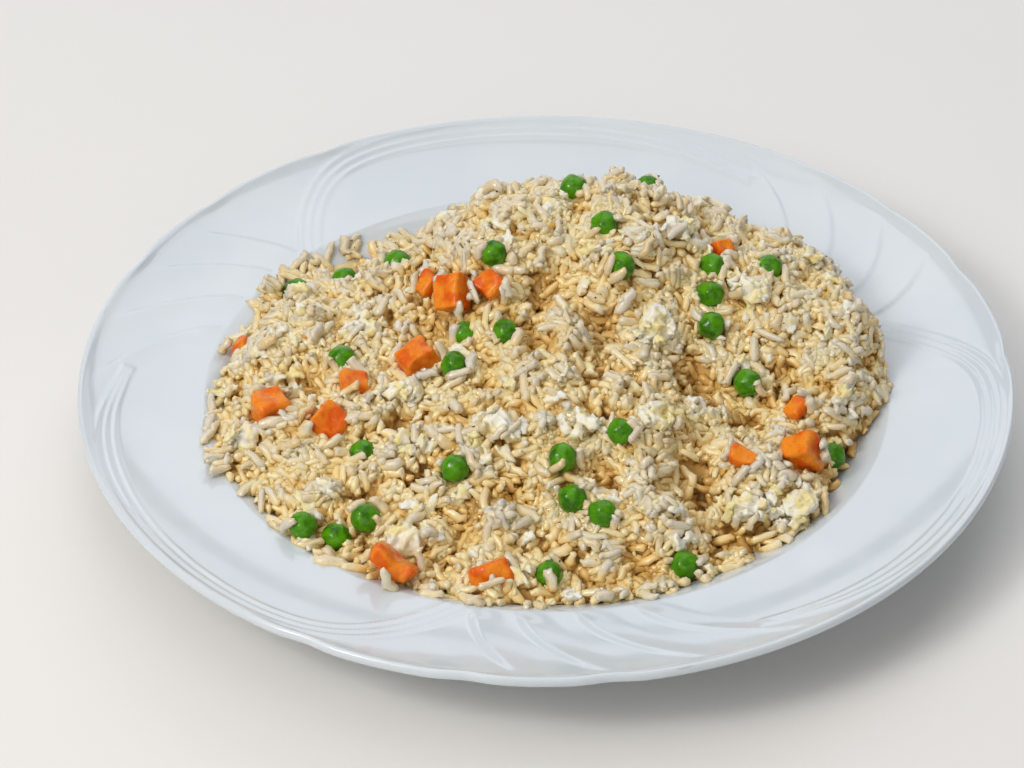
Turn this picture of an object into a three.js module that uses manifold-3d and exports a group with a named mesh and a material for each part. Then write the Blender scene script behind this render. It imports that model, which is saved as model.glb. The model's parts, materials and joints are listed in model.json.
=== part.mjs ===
// Fried rice heaped in the well of a wide-rimmed porcelain plate.
// Millimetres, +Z up. The origin is the middle of the foot ring's flat face.
// The rice is one solid with grain-sized relief, and the peas, carrot dice and
// egg curds sit in pockets that are cut into it.

import * as THREE from "three";
import { ConvexGeometry } from "three/addons/geometries/ConvexGeometry.js";
import { mergeVertices } from "three/addons/utils/BufferGeometryUtils.js";
import Module from "manifold-3d";

const wasm = await Module();
wasm.setup();

// Clearance between solids that touch, and how far the plate's flats stand in from its curve.
const gap = 0.3;
const flatsAllowance = 0.45;

// Plate: a flat well floor, a curved wall, and a broad rim that turns up to the lip.
const plateRadius = 150;
const rimHeight = 29.2;
const wellEdgeRadius = 110.5;
const wellEdgeHeight = 20.3;
const wellFloorRadius = 88;
const wellFloorHeight = 8;
const plateThickness = 4.6;
const lipThickness = 4.2;
const footOuterRadius = 80;
const footInnerRadius = 73;
const baseUndersideHeight = 3.2;
const wellRingRadii = [62, wellFloorRadius, 93, 98, 104];
const rimRingRadii = [wellEdgeRadius, 116, 122, 129, 136, 142, 146.5];
const undersideRingRadii = [138, 124, 111, 103, 96, 89];
const rimSegments = 96;
const wellSegments = 36;

// Moulded rim, in degrees: fans of leaves a third of a turn apart. Each leaf's crest leaves
// the well at its start and sweeps round as it runs out. The lip is notched beside each fan.
const fanStart = 17;
const fanPitch = 120;
const leaves = [
  { start: 0, sweep: -20 }, { start: 2, sweep: 10 }, { start: 9, sweep: 14 },
  { start: 18, sweep: 17 }, { start: 27, sweep: 21 },
];
const leafRelief = 0.9;
const leafWidth = 10;
const leafFade = 1 / 6;
const lipNotches = [-15, 4, 20];
const lipNotchDepth = 0.9;
const lipNotchWidth = 2.6;

// Heap: how far it spreads in each direction, in degrees from +X and millimetres.
const spread = [
  [0, 112], [25, 112], [60, 107], [108, 101], [122, 101.5], [143, 107], [172, 105],
  [197, 111], [215, 107.5], [250, 104.5], [285, 102.5], [305, 100.5], [322, 104], [338, 98], [350, 107],
];
const spreadWave = 0.6;
const heapRings = 24;
const heapEdgeThickness = 2.6;
const heapUndercut = 1.5;
const heapShoulder = 13;
const heapBlend = 4.5;
const ringJitter = 0.5;

// Mounds that run together into the heap: centre, half sizes, height over the well floor
// and how blunt the top is.
const mounds = {
  bed: { x: 0, y: 2, wide: 110, deep: 106, high: 13, blunt: 8 },
  summit: { x: 20, y: 40, wide: 56, deep: 64, high: 57, blunt: 2.2 },
  summitLeft: { x: -12, y: 38, wide: 40, deep: 60, high: 54, blunt: 2.4 },
  summitRight: { x: 52, y: 34, wide: 50, deep: 62, high: 40, blunt: 2.4 },
  backRight: { x: 80, y: 22, wide: 39, deep: 62, high: 35, blunt: 3 },
  middle: { x: 2, y: -14, wide: 74, deep: 74, high: 36, blunt: 2.4 },
  backLeft: { x: -62, y: 14, wide: 50, deep: 56, high: 25, blunt: 2.8 },
  frontLeft: { x: -68, y: -18, wide: 44, deep: 68, high: 24, blunt: 2.6 },
  clumpRight: { x: 92, y: -4, wide: 30, deep: 38, high: 26, blunt: 2.8 },
  clumpFrontRight: { x: 66, y: -46, wide: 29, deep: 28, high: 22, blunt: 2.8 },
  clumpFront: { x: 28, y: -60, wide: 28, deep: 36, high: 23, blunt: 2.8 },
  apronFront: { x: -20, y: -62, wide: 50, deep: 36, high: 17, blunt: 2.8 },
};

// Rice grains: length and width of one, and the relief that they give the heap.
const grainLength = 7.4;
const grainWidth = 3.2;
const grainSpacing = 4.4;
const grainRelief = 2.2;
const clumpRelief = 0.7;
const clumpSize = 17;

// Peas: [x, y, height of the middle over the heap's surface].
const peaRadius = 4.7;
const peas = {
  summit: [[9, 53, 0], [19, 30, -1], [-17, 19, 1], [24, 14, 1], [-26, 1, -2], [-13, -3, -1]],
  left: [[-65, -7, 1], [-29, -16, 1], [-57, -45, -2], [-28, -57, 1]],
  farLeft: [[-84, 54, -1], [-68, 57, -1], [-51, 73, -1]],
  right: [[53, 3, 1], [64, -15, 1], [73, 31, -1], [54, 27, -1], [53, 16, -2]],
  front: [[23, -47, 1], [5, -57, 1], [8, -68, -1], [17, -74, -1]],
  frontEdge: [[1, -91, 0], [42, -86, 0], [-74, -74, 0], [-64, -75, -1], [-55, -71, 1]],
  rightEdge: [[90, -35, 0]],
  back: [[34, 72, 0], [-14, 84, 1]],
};

// Carrot dice: [x, y, length, width, height, turn in degrees, height over the surface].
const carrots = {
  left: [[-87, -25, 11, 10, 9, 25, 1], [-61, -18, 9, 8, 7, 10, 1], [-68, -33, 11, 10, 8, 60, -1]],
  farLeft: [[-100, 19, 8, 4, 7, 80, 0]],
  middle: [[-41, -9, 11, 10, 10, 35, 2], [-30, 13, 12, 10, 9, 70, 2], [-18, 9, 10, 8, 6, 120, 2]],
  upperLeft: [[-38, 27, 8, 6, 6, 20, 0]],
  front: [[-46, -93, 15, 9, 6, 170, 0], [-16, -93, 12, 9, 7, 20, -1]],
  right: [[80, -44, 12, 10, 10, 15, 1], [79, -25, 7, 6, 6, 50, 0], [61, -50, 9, 6, 5, 140, 0]],
  back: [[58, 36, 7, 6, 6, 30, 0], [4, 78, 10, 9, 8, 50, 0]],
};
const carrotChamfer = 1.1;

// Egg curds: [x, y, length, width, height, turn in degrees, height over the surface].
const curds = {
  left: [[-46, -22, 13, 8, 6, 10, 1], [-94, -34, 13, 9, 6, 60, 0], [-58, 9, 12, 10, 7, 20, 1]],
  middle: [[-14, -46, 14, 11, 7, 150, 1], [35, 0, 16, 14, 8, 70, 1], [35, -37, 13, 12, 7, 40, 1]],
  summit: [[42, 34, 14, 8, 6, 20, 1], [1, 41, 10, 8, 6, 60, 0]],
  right: [[66, 16, 12, 10, 7, 130, 1], [78, -62, 17, 14, 8, 60, 1], [61, -66, 14, 10, 6, 10, 1]],
  front: [[-42, -80, 15, 11, 6, 160, 0]],
};
const curdRuffle = 0.22;

// Toppings this near the heap's edge lie on the plate, and each is tipped a little at random.
const edgeReach = 7;
const toppingTilt = 0.35;

// Distance from an icosahedron's middle to its faces, where its corners are at 1.
const facetInset = 0.7946;

// Draws numbers from 0 to 1 in the same order each time.
function draws(seed) {
  let state = seed;
  return () => {
    state = (state * 1664525 + 1013904223) % 4294967296;
    return state / 4294967296;
  };
}

const clamp = (value) => Math.min(1, Math.max(0, value));
const ease = (value) => clamp(value) ** 2 * (3 - 2 * clamp(value));
const radians = (degrees) => (degrees * Math.PI) / 180;
const polar = (radius, angle, z) => [radius * Math.cos(angle), radius * Math.sin(angle), z];

// An angle in radians as degrees past the start of its fan, from -40 to 80.
function fanTurn(angle) {
  const turn = (angle * 180) / Math.PI - fanStart + fanPitch / 3;
  return (((turn % fanPitch) + fanPitch) % fanPitch) - fanPitch / 3;
}

// Makes a closed geometry from points and the triples of their indices.
function closedGeometry(points, faces) {
  const geometry = new THREE.BufferGeometry();
  geometry.setAttribute("position", new THREE.Float32BufferAttribute(points.flat(), 3));
  geometry.setIndex(faces.flat());
  return geometry;
}

// Joins two rings of points, an inner and an outer one, with a band of triangles.
function bandBetween(inner, innerCount, outer, outerCount) {
  const faces = [];
  const innerSteps = innerCount > 1 ? innerCount : 0;
  const outerSteps = outerCount > 1 ? outerCount : 0;
  let i = 0;
  let j = 0;
  while (i < innerSteps || j < outerSteps) {
    const a = inner + (i % innerCount);
    const b = outer + (j % outerCount);
    const innerNext = innerSteps ? (i + 1) / innerSteps : 2;
    const outerNext = outerSteps ? (j + 1) / outerSteps : 2;
    if (innerNext < outerNext) {
      i += 1;
      faces.push([a, b, inner + (i % innerCount)]);
    } else {
      j += 1;
      faces.push([a, b, outer + (j % outerCount)]);
    }
  }
  return faces;
}

// Closes rings that run from a pole on top, round the edge, to a pole below.
function skin(rings) {
  const faces = [];
  let first = 0;
  for (let i = 0; i + 1 < rings.length; i += 1) {
    const next = first + rings[i].length;
    faces.push(...bandBetween(first, rings[i].length, next, rings[i + 1].length));
    first = next;
  }
  return closedGeometry(rings.flat(), faces);
}

// One ring of evenly turned points, with radius and height as functions of the angle.
function ring(count, radiusAt, heightAt) {
  return Array.from({ length: count }, (_, i) => {
    const angle = (2 * Math.PI * i) / count;
    const radius = radiusAt(angle);
    return polar(radius, angle, heightAt(radius, angle));
  });
}

// Upper face of the plate, before the moulded leaves.
function plateTop(radius) {
  const wall = clamp((radius - wellFloorRadius) / (wellEdgeRadius - wellFloorRadius));
  const rim = clamp((radius - wellEdgeRadius) / (plateRadius - wellEdgeRadius));
  const wallRise = 0.55 * ease(wall) + 0.45 * wall ** 1.6;
  const rimRise = 0.42 * rim + 0.58 * rim ** 3;
  return wellFloorHeight + wallRise * (wellEdgeHeight - wellFloorHeight)
    + rimRise * (rimHeight - wellEdgeHeight);
}

// Underside of the wall and rim, a wall's thickness below the upper face.
function plateUnder(radius) {
  const slope = plateTop(radius + 0.5) - plateTop(radius - 0.5);
  return plateTop(radius) - plateThickness * Math.hypot(1, slope);
}

// Height of the moulded leaves: each is crisp on its crest and fades away past it.
function leafHeight(radius, angle) {
  const out = clamp((radius - wellEdgeRadius) / (plateRadius - wellEdgeRadius));
  const fade = ease(out / leafFade) * ease((1 - out) / leafFade);
  let height = 0;
  for (const { start, sweep } of leaves) {
    const past = radians(fanTurn(angle) - start - sweep * out ** 1.5) * radius;
    height += past > 0 ? clamp(1 - past / leafWidth) * leafRelief * fade : 0;
  }
  return height;
}

// Radius of the notched lip.
function lipRadius(angle) {
  const depths = lipNotches.map((notch) => {
    const away = (fanTurn(angle) - notch) / lipNotchWidth;
    return lipNotchDepth * Math.exp(-away * away);
  });
  return plateRadius - Math.max(...depths);
}

// Round lip, as steps out from the lip's radius and up from the rim's height.
const lipSection = [[-0.9, 0.1], [0, -1.4], [-0.5, -2.9], [-2.4, -lipThickness]];

// Foot ring and the base inside it, as radius and height.
const footSection = [
  [footOuterRadius + 2, baseUndersideHeight - 0.8],
  [footOuterRadius, 0],
  [footInnerRadius, 0],
  [footInnerRadius - 2, baseUndersideHeight],
];

function plateGeometry() {
  const rimTop = (radius, angle) => plateTop(radius) + leafHeight(radius, angle);
  return skin([
    [[0, 0, wellFloorHeight]],
    ...wellRingRadii.map((radius) => ring(wellSegments, () => radius, plateTop)),
    ...rimRingRadii.map((radius) => ring(rimSegments, () => radius, rimTop)),
    ...lipSection.map(([out, up]) => (
      ring(rimSegments, (angle) => lipRadius(angle) + out, () => rimHeight + up)
    )),
    ...undersideRingRadii.map((radius) => ring(wellSegments, () => radius, plateUnder)),
    ...footSection.map(([radius, height]) => ring(wellSegments, () => radius, () => height)),
    [[0, 0, baseUndersideHeight]],
  ]);
}

// How far the heap spreads at an angle, eased between the given directions.
function spreadAt(angle) {
  const turn = (((angle * 180) / Math.PI) + 360) % 360;
  const next = spread.findIndex(([direction]) => direction > turn);
  const [fromTurn, from] = spread[(next < 0 ? spread.length : next) - 1];
  const [toTurn, to] = next < 0 ? [360, spread[0][1]] : spread[next];
  const wave = Math.sin(11 * angle + 1) + Math.sin(19 * angle + 2) + Math.sin(31 * angle);
  return from + (to - from) * ease((turn - fromTurn) / (toTurn - fromTurn)) + spreadWave * wave;
}

// Two draws from 0 to 1 that belong to a cell of the grid of grains.
function cellDraws(column, row) {
  const mixed = Math.sin(column * 127.1 + row * 311.7) * 43758.5453;
  const again = Math.sin(column * 269.5 + row * 183.3) * 28001.8384;
  return [mixed - Math.floor(mixed), again - Math.floor(again)];
}

// Relief of grains strewn at random, one for each cell of a grid.
function grainsAt(x, y) {
  const column = Math.round(x / grainSpacing);
  const row = Math.round(y / grainSpacing);
  let height = 0;
  for (let i = column - 1; i <= column + 1; i += 1) {
    for (let j = row - 1; j <= row + 1; j += 1) {
      const [first, second] = cellDraws(i, j);
      const turn = Math.PI * first;
      const dx = x - (i + second - 0.5) * grainSpacing;
      const dy = y - (j + first - 0.5) * grainSpacing;
      const along = (dx * Math.cos(turn) + dy * Math.sin(turn)) / (grainLength / 2);
      const across = (dy * Math.cos(turn) - dx * Math.sin(turn)) / (grainWidth / 2);
      const rise = 0.55 + 0.45 * second;
      height = Math.max(height, rise * Math.sqrt(Math.max(0, 1 - along ** 2 - across ** 2)));
    }
  }
  return (height - 0.5) * grainRelief;
}

// Slow rise and fall of clumps of rice, from waves that cross.
function clumpsAt(x, y) {
  const pitch = clumpSize / (2 * Math.PI);
  const crossing = Math.sin((x + 0.6 * y) / pitch + 1.3) * Math.cos((y - 0.4 * x) / (1.2 * pitch));
  const swell = Math.sin((x - 1.1 * y) / (1.7 * pitch) + 0.4);
  return clumpRelief * (crossing + swell);
}

// Smooth top of the heap: the mounds run together, and its edge rounds down to the plate.
function heapTop(x, y) {
  let sum = 0;
  for (const { x: cx, y: cy, wide, deep, high, blunt } of Object.values(mounds)) {
    const away = Math.hypot((x - cx) / wide, (y - cy) / deep);
    sum += Math.exp(Math.max(-20, high * (1 - away ** blunt)) / heapBlend);
  }
  const radius = Math.hypot(x, y);
  const low = plateTop(radius) + gap + heapEdgeThickness;
  const full = Math.max(low, wellFloorHeight + heapBlend * Math.log(sum));
  const inside = clamp((spreadAt(Math.atan2(y, x)) - radius) / heapShoulder);
  return low + (full - low) * Math.sqrt(inside * (2 - inside));
}

// One ring of the heap's top, with its points shifted at random except at the edge.
function heapRing(k, random) {
  const loose = k < heapRings ? ringJitter : 0;
  return Array.from({ length: 6 * k }, (_, i) => {
    const angle = (2 * Math.PI * (i + loose * (random() - 0.5))) / (6 * k);
    const radius = ((k + loose * (random() - 0.5)) / heapRings) * spreadAt(angle);
    const [x, y] = polar(radius, angle);
    const relief = loose ? grainsAt(x, y) + clumpsAt(x, y) : 0;
    const low = plateTop(radius) + heapEdgeThickness / 2;
    return [x, y, Math.max(heapTop(x, y) + relief, low)];
  });
}

// Rice heap before the pockets: rings of grain relief on top, the well's shape below.
function heapGeometry() {
  const random = draws(7);
  const resting = (radius) => plateTop(radius) + gap + flatsAllowance;
  const rings = [[[0, 0, heapTop(0, 0)]]];
  for (let k = 1; k <= heapRings; k += 1) {
    rings.push(heapRing(k, random));
  }
  rings.push(ring(2 * wellSegments, (angle) => spreadAt(angle) - heapUndercut, resting));
  rings.push(ring(wellSegments, () => wellFloorRadius + 2, resting));
  rings.push([[0, 0, wellFloorHeight + gap]]);
  return skin(rings);
}

// Turns a piece flat against the surface under it.
function leanAt(x, y, heightAt) {
  const step = 3;
  const normal = new THREE.Vector3(
    heightAt(x - step, y) - heightAt(x + step, y),
    heightAt(x, y - step) - heightAt(x, y + step),
    2 * step,
  );
  return new THREE.Quaternion().setFromUnitVectors(new THREE.Vector3(0, 0, 1), normal.normalize());
}

// Lowest height at which a turned piece clears the plate.
function heightOverPlate(geometry, x, y) {
  const corners = geometry.getAttribute("position");
  let low = 0;
  for (let i = 0; i < corners.count; i += 1) {
    const radius = Math.hypot(x + corners.getX(i), y + corners.getY(i));
    low = Math.max(low, plateTop(radius) - corners.getZ(i));
  }
  return low + gap + flatsAllowance;
}

// A pea: a slightly uneven ball. Its pocket has flat sides that just clear it.
function peaShape(random) {
  const radius = peaRadius * (0.94 + 0.08 * random());
  const squash = 0.95 + 0.05 * random();
  return {
    geometry: new THREE.IcosahedronGeometry(radius, 1).scale(1, squash, squash),
    pocket: new THREE.IcosahedronGeometry((radius + gap) / facetInset, 0),
  };
}

// A carrot die: a cut block with worn edges and faces that aren't quite square.
function carrotShape(random, length, width, height) {
  const half = new THREE.Vector3(length, width, height).multiplyScalar(0.5);
  const corners = [];
  for (let i = 0; i < 8; i += 1) {
    const side = new THREE.Vector3(i & 1 ? 1 : -1, i & 2 ? 1 : -1, i & 4 ? 1 : -1);
    const corner = side.multiply(half).multiplyScalar(0.92 + 0.08 * random());
    for (const axis of ["x", "y", "z"]) {
      const cut = corner.clone();
      cut[axis] -= Math.sign(cut[axis]) * carrotChamfer;
      corners.push(cut);
    }
  }
  const pocket = new THREE.BoxGeometry(length + 2 * gap, width + 2 * gap, height + 2 * gap);
  return { geometry: new ConvexGeometry(corners), pocket };
}

// An egg curd: a flattened lump with ruffled sides.
function curdShape(random, length, width, height) {
  const geometry = mergeVertices(bare(new THREE.IcosahedronGeometry(0.5, 1)), 1e-4);
  const position = geometry.getAttribute("position");
  for (let i = 0; i < position.count; i += 1) {
    const reach = 1 - curdRuffle * random();
    position.setXYZ(i, position.getX(i) * reach, position.getY(i) * reach, position.getZ(i) * reach);
  }
  const pocket = new THREE.IcosahedronGeometry(0.5 / facetInset, 0);
  return {
    geometry: geometry.scale(length, width, height),
    pocket: pocket.scale(length + gap, width + gap, height + gap),
  };
}

// Leaves only the positions of a geometry.
function bare(geometry) {
  geometry.deleteAttribute("normal");
  geometry.deleteAttribute("uv");
  return geometry;
}

// A solid for joining and cutting.
function solidOf(geometry) {
  const merged = mergeVertices(bare(geometry.clone()), 1e-4);
  return new wasm.Manifold(new wasm.Mesh({
    numProp: 3,
    vertProperties: new Float32Array(merged.getAttribute("position").array),
    triVerts: new Uint32Array(merged.getIndex().array),
  }));
}

// The geometry of a joined or cut solid.
function geometryOf(solid) {
  const { vertProperties, triVerts } = solid.getMesh();
  const geometry = new THREE.BufferGeometry();
  geometry.setAttribute("position", new THREE.BufferAttribute(vertProperties, 3));
  geometry.setIndex(new THREE.BufferAttribute(triVerts, 1));
  return geometry;
}

function finish(color, roughness) {
  return new THREE.MeshStandardMaterial({ color, roughness, metalness: 0 });
}

function named(name, geometry, material) {
  const mesh = new THREE.Mesh(geometry, material);
  mesh.name = name;
  return mesh;
}

// Lays a topping on the heap, or on the plate at the heap's edge, with the pocket it sits in.
function settle(name, shape, material, [x, y, over], spin) {
  const mesh = named(name, shape.geometry, material);
  const radius = Math.hypot(x, y);
  const atEdge = radius > spreadAt(Math.atan2(y, x)) - edgeReach;
  const ground = atEdge ? (u, v) => plateTop(Math.hypot(u, v)) : heapTop;
  mesh.quaternion.copy(leanAt(x, y, ground)).multiply(spin);
  const turned = shape.geometry.clone().applyQuaternion(mesh.quaternion);
  mesh.position.set(x, y, Math.max(heapTop(x, y) + over, heightOverPlate(turned, x, y)));
  mesh.updateMatrix();
  return { mesh, pocket: solidOf(shape.pocket.applyMatrix4(mesh.matrix)) };
}

// Makes one kind of topping from its places, numbered from 01.
function toppings(kind, material, places, shapeOf) {
  const random = draws(kind.length);
  return Object.values(places).flat().map((place, i) => {
    const name = `${kind}_${String(i + 1).padStart(2, "0")}`;
    const tilt = new THREE.Euler(toppingTilt * random(), toppingTilt * random(), radians(place[5] ?? 0));
    const spin = new THREE.Quaternion().setFromEuler(tilt);
    const at = [place[0], place[1], place[place.length - 1]];
    return settle(name, shapeOf(random, place[2], place[3], place[4]), material, at, spin);
  });
}

const dish = new THREE.Group();
dish.add(named("plate", plateGeometry(), finish("#e3e8ee", 0.18)));

const settled = [
  ...toppings("pea", finish("#4c9a22", 0.35), peas, peaShape),
  ...toppings("carrot", finish("#f07a1e", 0.4), carrots, carrotShape),
  ...toppings("egg", finish("#f1e3ae", 0.5), curds, curdShape),
];
let rice = solidOf(heapGeometry());
for (const { mesh, pocket } of settled) {
  rice = rice.subtract(pocket);
  dish.add(mesh);
}
dish.add(named("rice_heap", geometryOf(rice), finish("#dccaa6", 0.55)));

export default dish;
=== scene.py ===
"""Dresses the packed solids of a plate of fried rice with its looks."""

import json
import math

import bmesh
import bpy
import numpy as np
from bpy.props import FloatProperty, FloatVectorProperty, IntProperty, PointerProperty
from mathutils import Matrix, Vector, noise
from mathutils.bvhtree import BVHTree

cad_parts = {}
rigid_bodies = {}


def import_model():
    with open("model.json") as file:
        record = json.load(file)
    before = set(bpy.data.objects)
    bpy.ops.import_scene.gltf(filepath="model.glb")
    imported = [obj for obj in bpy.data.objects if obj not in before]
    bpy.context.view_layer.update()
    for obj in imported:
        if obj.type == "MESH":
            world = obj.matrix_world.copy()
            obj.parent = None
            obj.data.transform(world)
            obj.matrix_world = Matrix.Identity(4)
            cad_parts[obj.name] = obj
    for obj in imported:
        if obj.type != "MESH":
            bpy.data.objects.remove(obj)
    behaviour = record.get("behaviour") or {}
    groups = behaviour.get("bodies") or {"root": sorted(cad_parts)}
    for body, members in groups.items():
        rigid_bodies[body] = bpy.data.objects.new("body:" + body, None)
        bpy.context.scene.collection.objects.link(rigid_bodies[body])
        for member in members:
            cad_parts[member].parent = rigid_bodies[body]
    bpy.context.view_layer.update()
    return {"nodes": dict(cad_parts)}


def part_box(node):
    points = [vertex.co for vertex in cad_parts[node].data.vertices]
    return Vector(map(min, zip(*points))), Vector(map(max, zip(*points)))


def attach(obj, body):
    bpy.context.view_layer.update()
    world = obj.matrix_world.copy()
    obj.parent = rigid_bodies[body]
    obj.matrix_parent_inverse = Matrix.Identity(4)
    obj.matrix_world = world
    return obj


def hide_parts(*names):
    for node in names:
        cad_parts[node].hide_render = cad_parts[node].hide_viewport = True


bl_info = {
    "name": "Plate of fried rice",
    "version": (1, 0, 0),
    "blender": (4, 5, 0),
    "location": "3D View > Sidebar > Fried rice",
    "description": "Builds a plate of fried rice with peas, carrot and egg round its packed solids",
    "category": "Object",
}

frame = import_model()

MM = 0.001
BODY = "root"
GOLDEN_TURN = math.pi * (3 - math.sqrt(5))


def linear(hex_colour, alpha=1.0):
    """Turns an sRGB hex colour into a linear one with alpha."""
    parts = [int(hex_colour[i : i + 2], 16) / 255 for i in (1, 3, 5)]
    return (*(p / 12.92 if p <= 0.04045 else ((p + 0.055) / 1.055) ** 2.4 for p in parts), alpha)


# ---------------------------------------------------------------- sizes and colours


def length(name, description, default):
    """A size in metres that a user may change."""
    return FloatProperty(name=name, description=description, default=default, unit="LENGTH",
                         subtype="DISTANCE", min=0.0, precision=5)


def colour(name, description, default):
    """A colour that a user may change, given as sRGB hex."""
    return FloatVectorProperty(name=name, description=description, default=linear(default),
                               size=4, subtype="COLOR", min=0.0, max=1.0)


class PlateSettings(bpy.types.PropertyGroup):
    """Sizes and colours of the plate."""

    radius: length("Radius", "From the middle to the lip", 0.150)
    rim_height: length("Rim height", "From the table to the top of the lip", 0.0292)
    leaf_relief: length("Leaf relief", "Height of a moulded leaf at its crest", 0.00080)
    cord_relief: length("Cord relief", "Height of the fine raised cords", 0.00048)
    notch_depth: length("Notch depth", "How far each notch cuts into the lip", 0.0009)
    glaze: colour("Glaze", "White glaze over the body", "#D1D8DE")
    biscuit: colour("Foot", "Unglazed ring that the plate stands on", "#C9C0B2")
    scuff: colour("Scuffs", "Grey metal marks on the lip", "#8C9196")


class RiceSettings(bpy.types.PropertyGroup):
    """Sizes and colours of the rice."""

    grain_length: length("Grain length", "Mean length of a cooked grain", 0.0080)
    grain_width: length("Grain width", "Mean width of a cooked grain", 0.0028)
    shell_depth: length("Shell depth", "How deep the loose grains go", 0.0056)
    fill: FloatProperty(name="Fill", description="Share of the shell that grains take up",
                        default=0.90, min=0.1, max=1.2, subtype="FACTOR")
    clumps: IntProperty(name="Clumps", description="Grains that stick together, side by side",
                        default=520, min=0)
    strays: IntProperty(name="Stray grains", description="Grains that lie on top of the others",
                        default=130, min=0)
    leaning: IntProperty(name="Leaning grains", description="Grains laid against each topping",
                         default=3, min=0)
    loose: IntProperty(name="Loose grains", description="Grains that lie beside the heap",
                       default=12, min=0)
    seed: IntProperty(name="Seed", description="Start of the random draws", default=7, min=0)
    pale: colour("Pale grains", "Plain boiled grain", "#D4CCBC")
    ivory: colour("Ivory grains", "Grain that kept its starch", "#DFD6C1")
    cream: colour("Cream grains", "Grain with a film of oil", "#D9CBAE")
    golden: colour("Golden grains", "Grain that has fried", "#DFC288")
    # Painted glow and shade as well as oil: the next three colours are laid on by depth under the
    # heap's face, grain side and valley, golden where light seems to pass through the grains and
    # brown where shade is painted deep between them.
    oiled: colour("Oiled sides", "Sides of the grains, golden with oil", "#F0DBA5")
    crevice: colour("Crevices", "Oily rice between the grains", "#EECB82")
    gap: colour("Gaps", "Oil and shade deep between the grains", "#C99C4C")


class PeaSettings(bpy.types.PropertyGroup):
    """Sizes and colours of the peas."""

    radius: length("Radius", "Mean radius of a pea", 0.0047)
    wrinkle: length("Wrinkle", "Depth of the dents in the skin", 0.00030)
    skin: colour("Skin", "Bright side of the skin", "#539400")
    shade: colour("Shade", "Darker patches of the skin", "#255A01")


class CarrotSettings(bpy.types.PropertyGroup):
    """Sizes and colours of the carrot dice."""

    grid: length("Grid", "Voxel size of the cut pieces", 0.0005)
    uneven: length("Unevenness", "How far the cuts stray from square", 0.0014)
    roughness: length("Roughness", "Height of the bumps that the knife leaves", 0.00022)
    flesh: colour("Flesh", "Cooked carrot", "#DA5C08")
    core: colour("Core", "Paler middle of the root", "#EE9224")


class EggSettings(bpy.types.PropertyGroup):
    """Sizes and colours of the egg."""

    grid: length("Grid", "Voxel size of the curds", 0.0005)
    ruffle: length("Ruffle", "Height of the folds of a curd", 0.0015)
    crumbs: IntProperty(name="Crumbs", description="Small shreds among the grains",
                        default=320, min=0)
    lumps: IntProperty(name="Small curds", description="Curds of 5 to 10 mm among the grains",
                       default=180, min=0)
    torn: IntProperty(name="Torn curds", description="Small curds against each large one",
                      default=6, min=0)
    yolk: colour("Yolk", "Yellow parts of the curds", "#E9DA9C")
    white: colour("White", "Set white in the curds", "#EDE9DC")


class FleckSettings(bpy.types.PropertyGroup):
    """Sizes and colours of the fried bits and the pepper."""

    bits: IntProperty(name="Fried bits", description="Golden crisp bits", default=110, min=0)
    specks: IntProperty(name="Pepper specks", description="Ground pepper", default=90, min=0)
    bit: colour("Fried bit", "Golden brown", "#C98A2E")
    pepper: colour("Pepper", "Ground black pepper", "#3A2A1C")


class StageSettings(bpy.types.PropertyGroup):
    """Camera and floor."""

    distance: length("Distance", "From the camera to the plate", 1.0)
    elevation: FloatProperty(name="Elevation", description="Camera's angle above the table",
                             default=math.radians(36.86), subtype="ANGLE")
    focal_pixels: FloatProperty(name="Focal length", description="In pixels of a 1024 wide frame",
                                default=3102.0, min=1.0)
    floor: colour("Floor", "Plain pale floor", "#E9E7E4")


SETTINGS = {
    "rice_plate": PlateSettings,
    "rice_grain": RiceSettings,
    "rice_pea": PeaSettings,
    "rice_carrot": CarrotSettings,
    "rice_egg": EggSettings,
    "rice_fleck": FleckSettings,
    "rice_stage": StageSettings,
}


def settings(name):
    """The scene's settings of one kind."""
    return getattr(bpy.context.scene, name)


# ---------------------------------------------------------------- meshes


def object_from(name, points, faces, material=None, flat=False):
    """Makes an object at the origin from points in millimetres and a list of faces."""
    mesh = bpy.data.meshes.new(name)
    points = np.asarray(points, float) * MM
    mesh.from_pydata(points.tolist(), [], faces)
    mesh.update()
    if not flat:
        mesh.shade_smooth()
    if material:
        mesh.materials.append(material)
    piece = bpy.data.objects.new(name, mesh)
    bpy.context.scene.collection.objects.link(piece)
    return piece


def revolved_faces(rings, sides, first_pole=True, last_pole=True):
    """Faces between rings of points that are numbered ring by ring, with a pole at each end."""
    faces = []
    start = 1 if first_pole else 0
    ring = lambda k, i: start + k * sides + i % sides
    if first_pole:
        faces += [(0, ring(0, i), ring(0, i + 1)) for i in range(sides)]
    for k in range(rings - 1):
        faces += [(ring(k, i), ring(k + 1, i), ring(k + 1, i + 1), ring(k, i + 1))
                  for i in range(sides)]
    if last_pole:
        tip = start + rings * sides
        faces += [(tip, ring(rings - 1, i + 1), ring(rings - 1, i)) for i in range(sides)]
    return faces


def finished(piece, nodes):
    """Hangs a finished piece on the body and hides the solids that it stands for."""
    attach(piece, BODY)
    if nodes:
        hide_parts(*nodes)
    return piece


def nodes_of(kind):
    """Names of the CAD nodes of one kind, in order."""
    return sorted(n for n in frame["nodes"] if n.startswith(kind + "_"))


def middle_and_half(node):
    """Middle and half size of a CAD node's box, in millimetres."""
    low, high = (np.array(corner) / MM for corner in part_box(node))
    return (low + high) / 2, (high - low) / 2


def toppings():
    """Middles and half sizes of the peas, carrots and large curds, in that order."""
    return [middle_and_half(node) for kind in ("pea", "carrot", "egg") for node in nodes_of(kind)]


def out_from(topping, x, y, margin):
    """How far places are from a topping's middle: 1 at its outline and a margin."""
    centre, half = topping
    return np.hypot((x - centre[0]) / (half[0] + margin), (y - centre[1]) / (half[1] + margin))


# ---------------------------------------------------------------- material nodes


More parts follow.
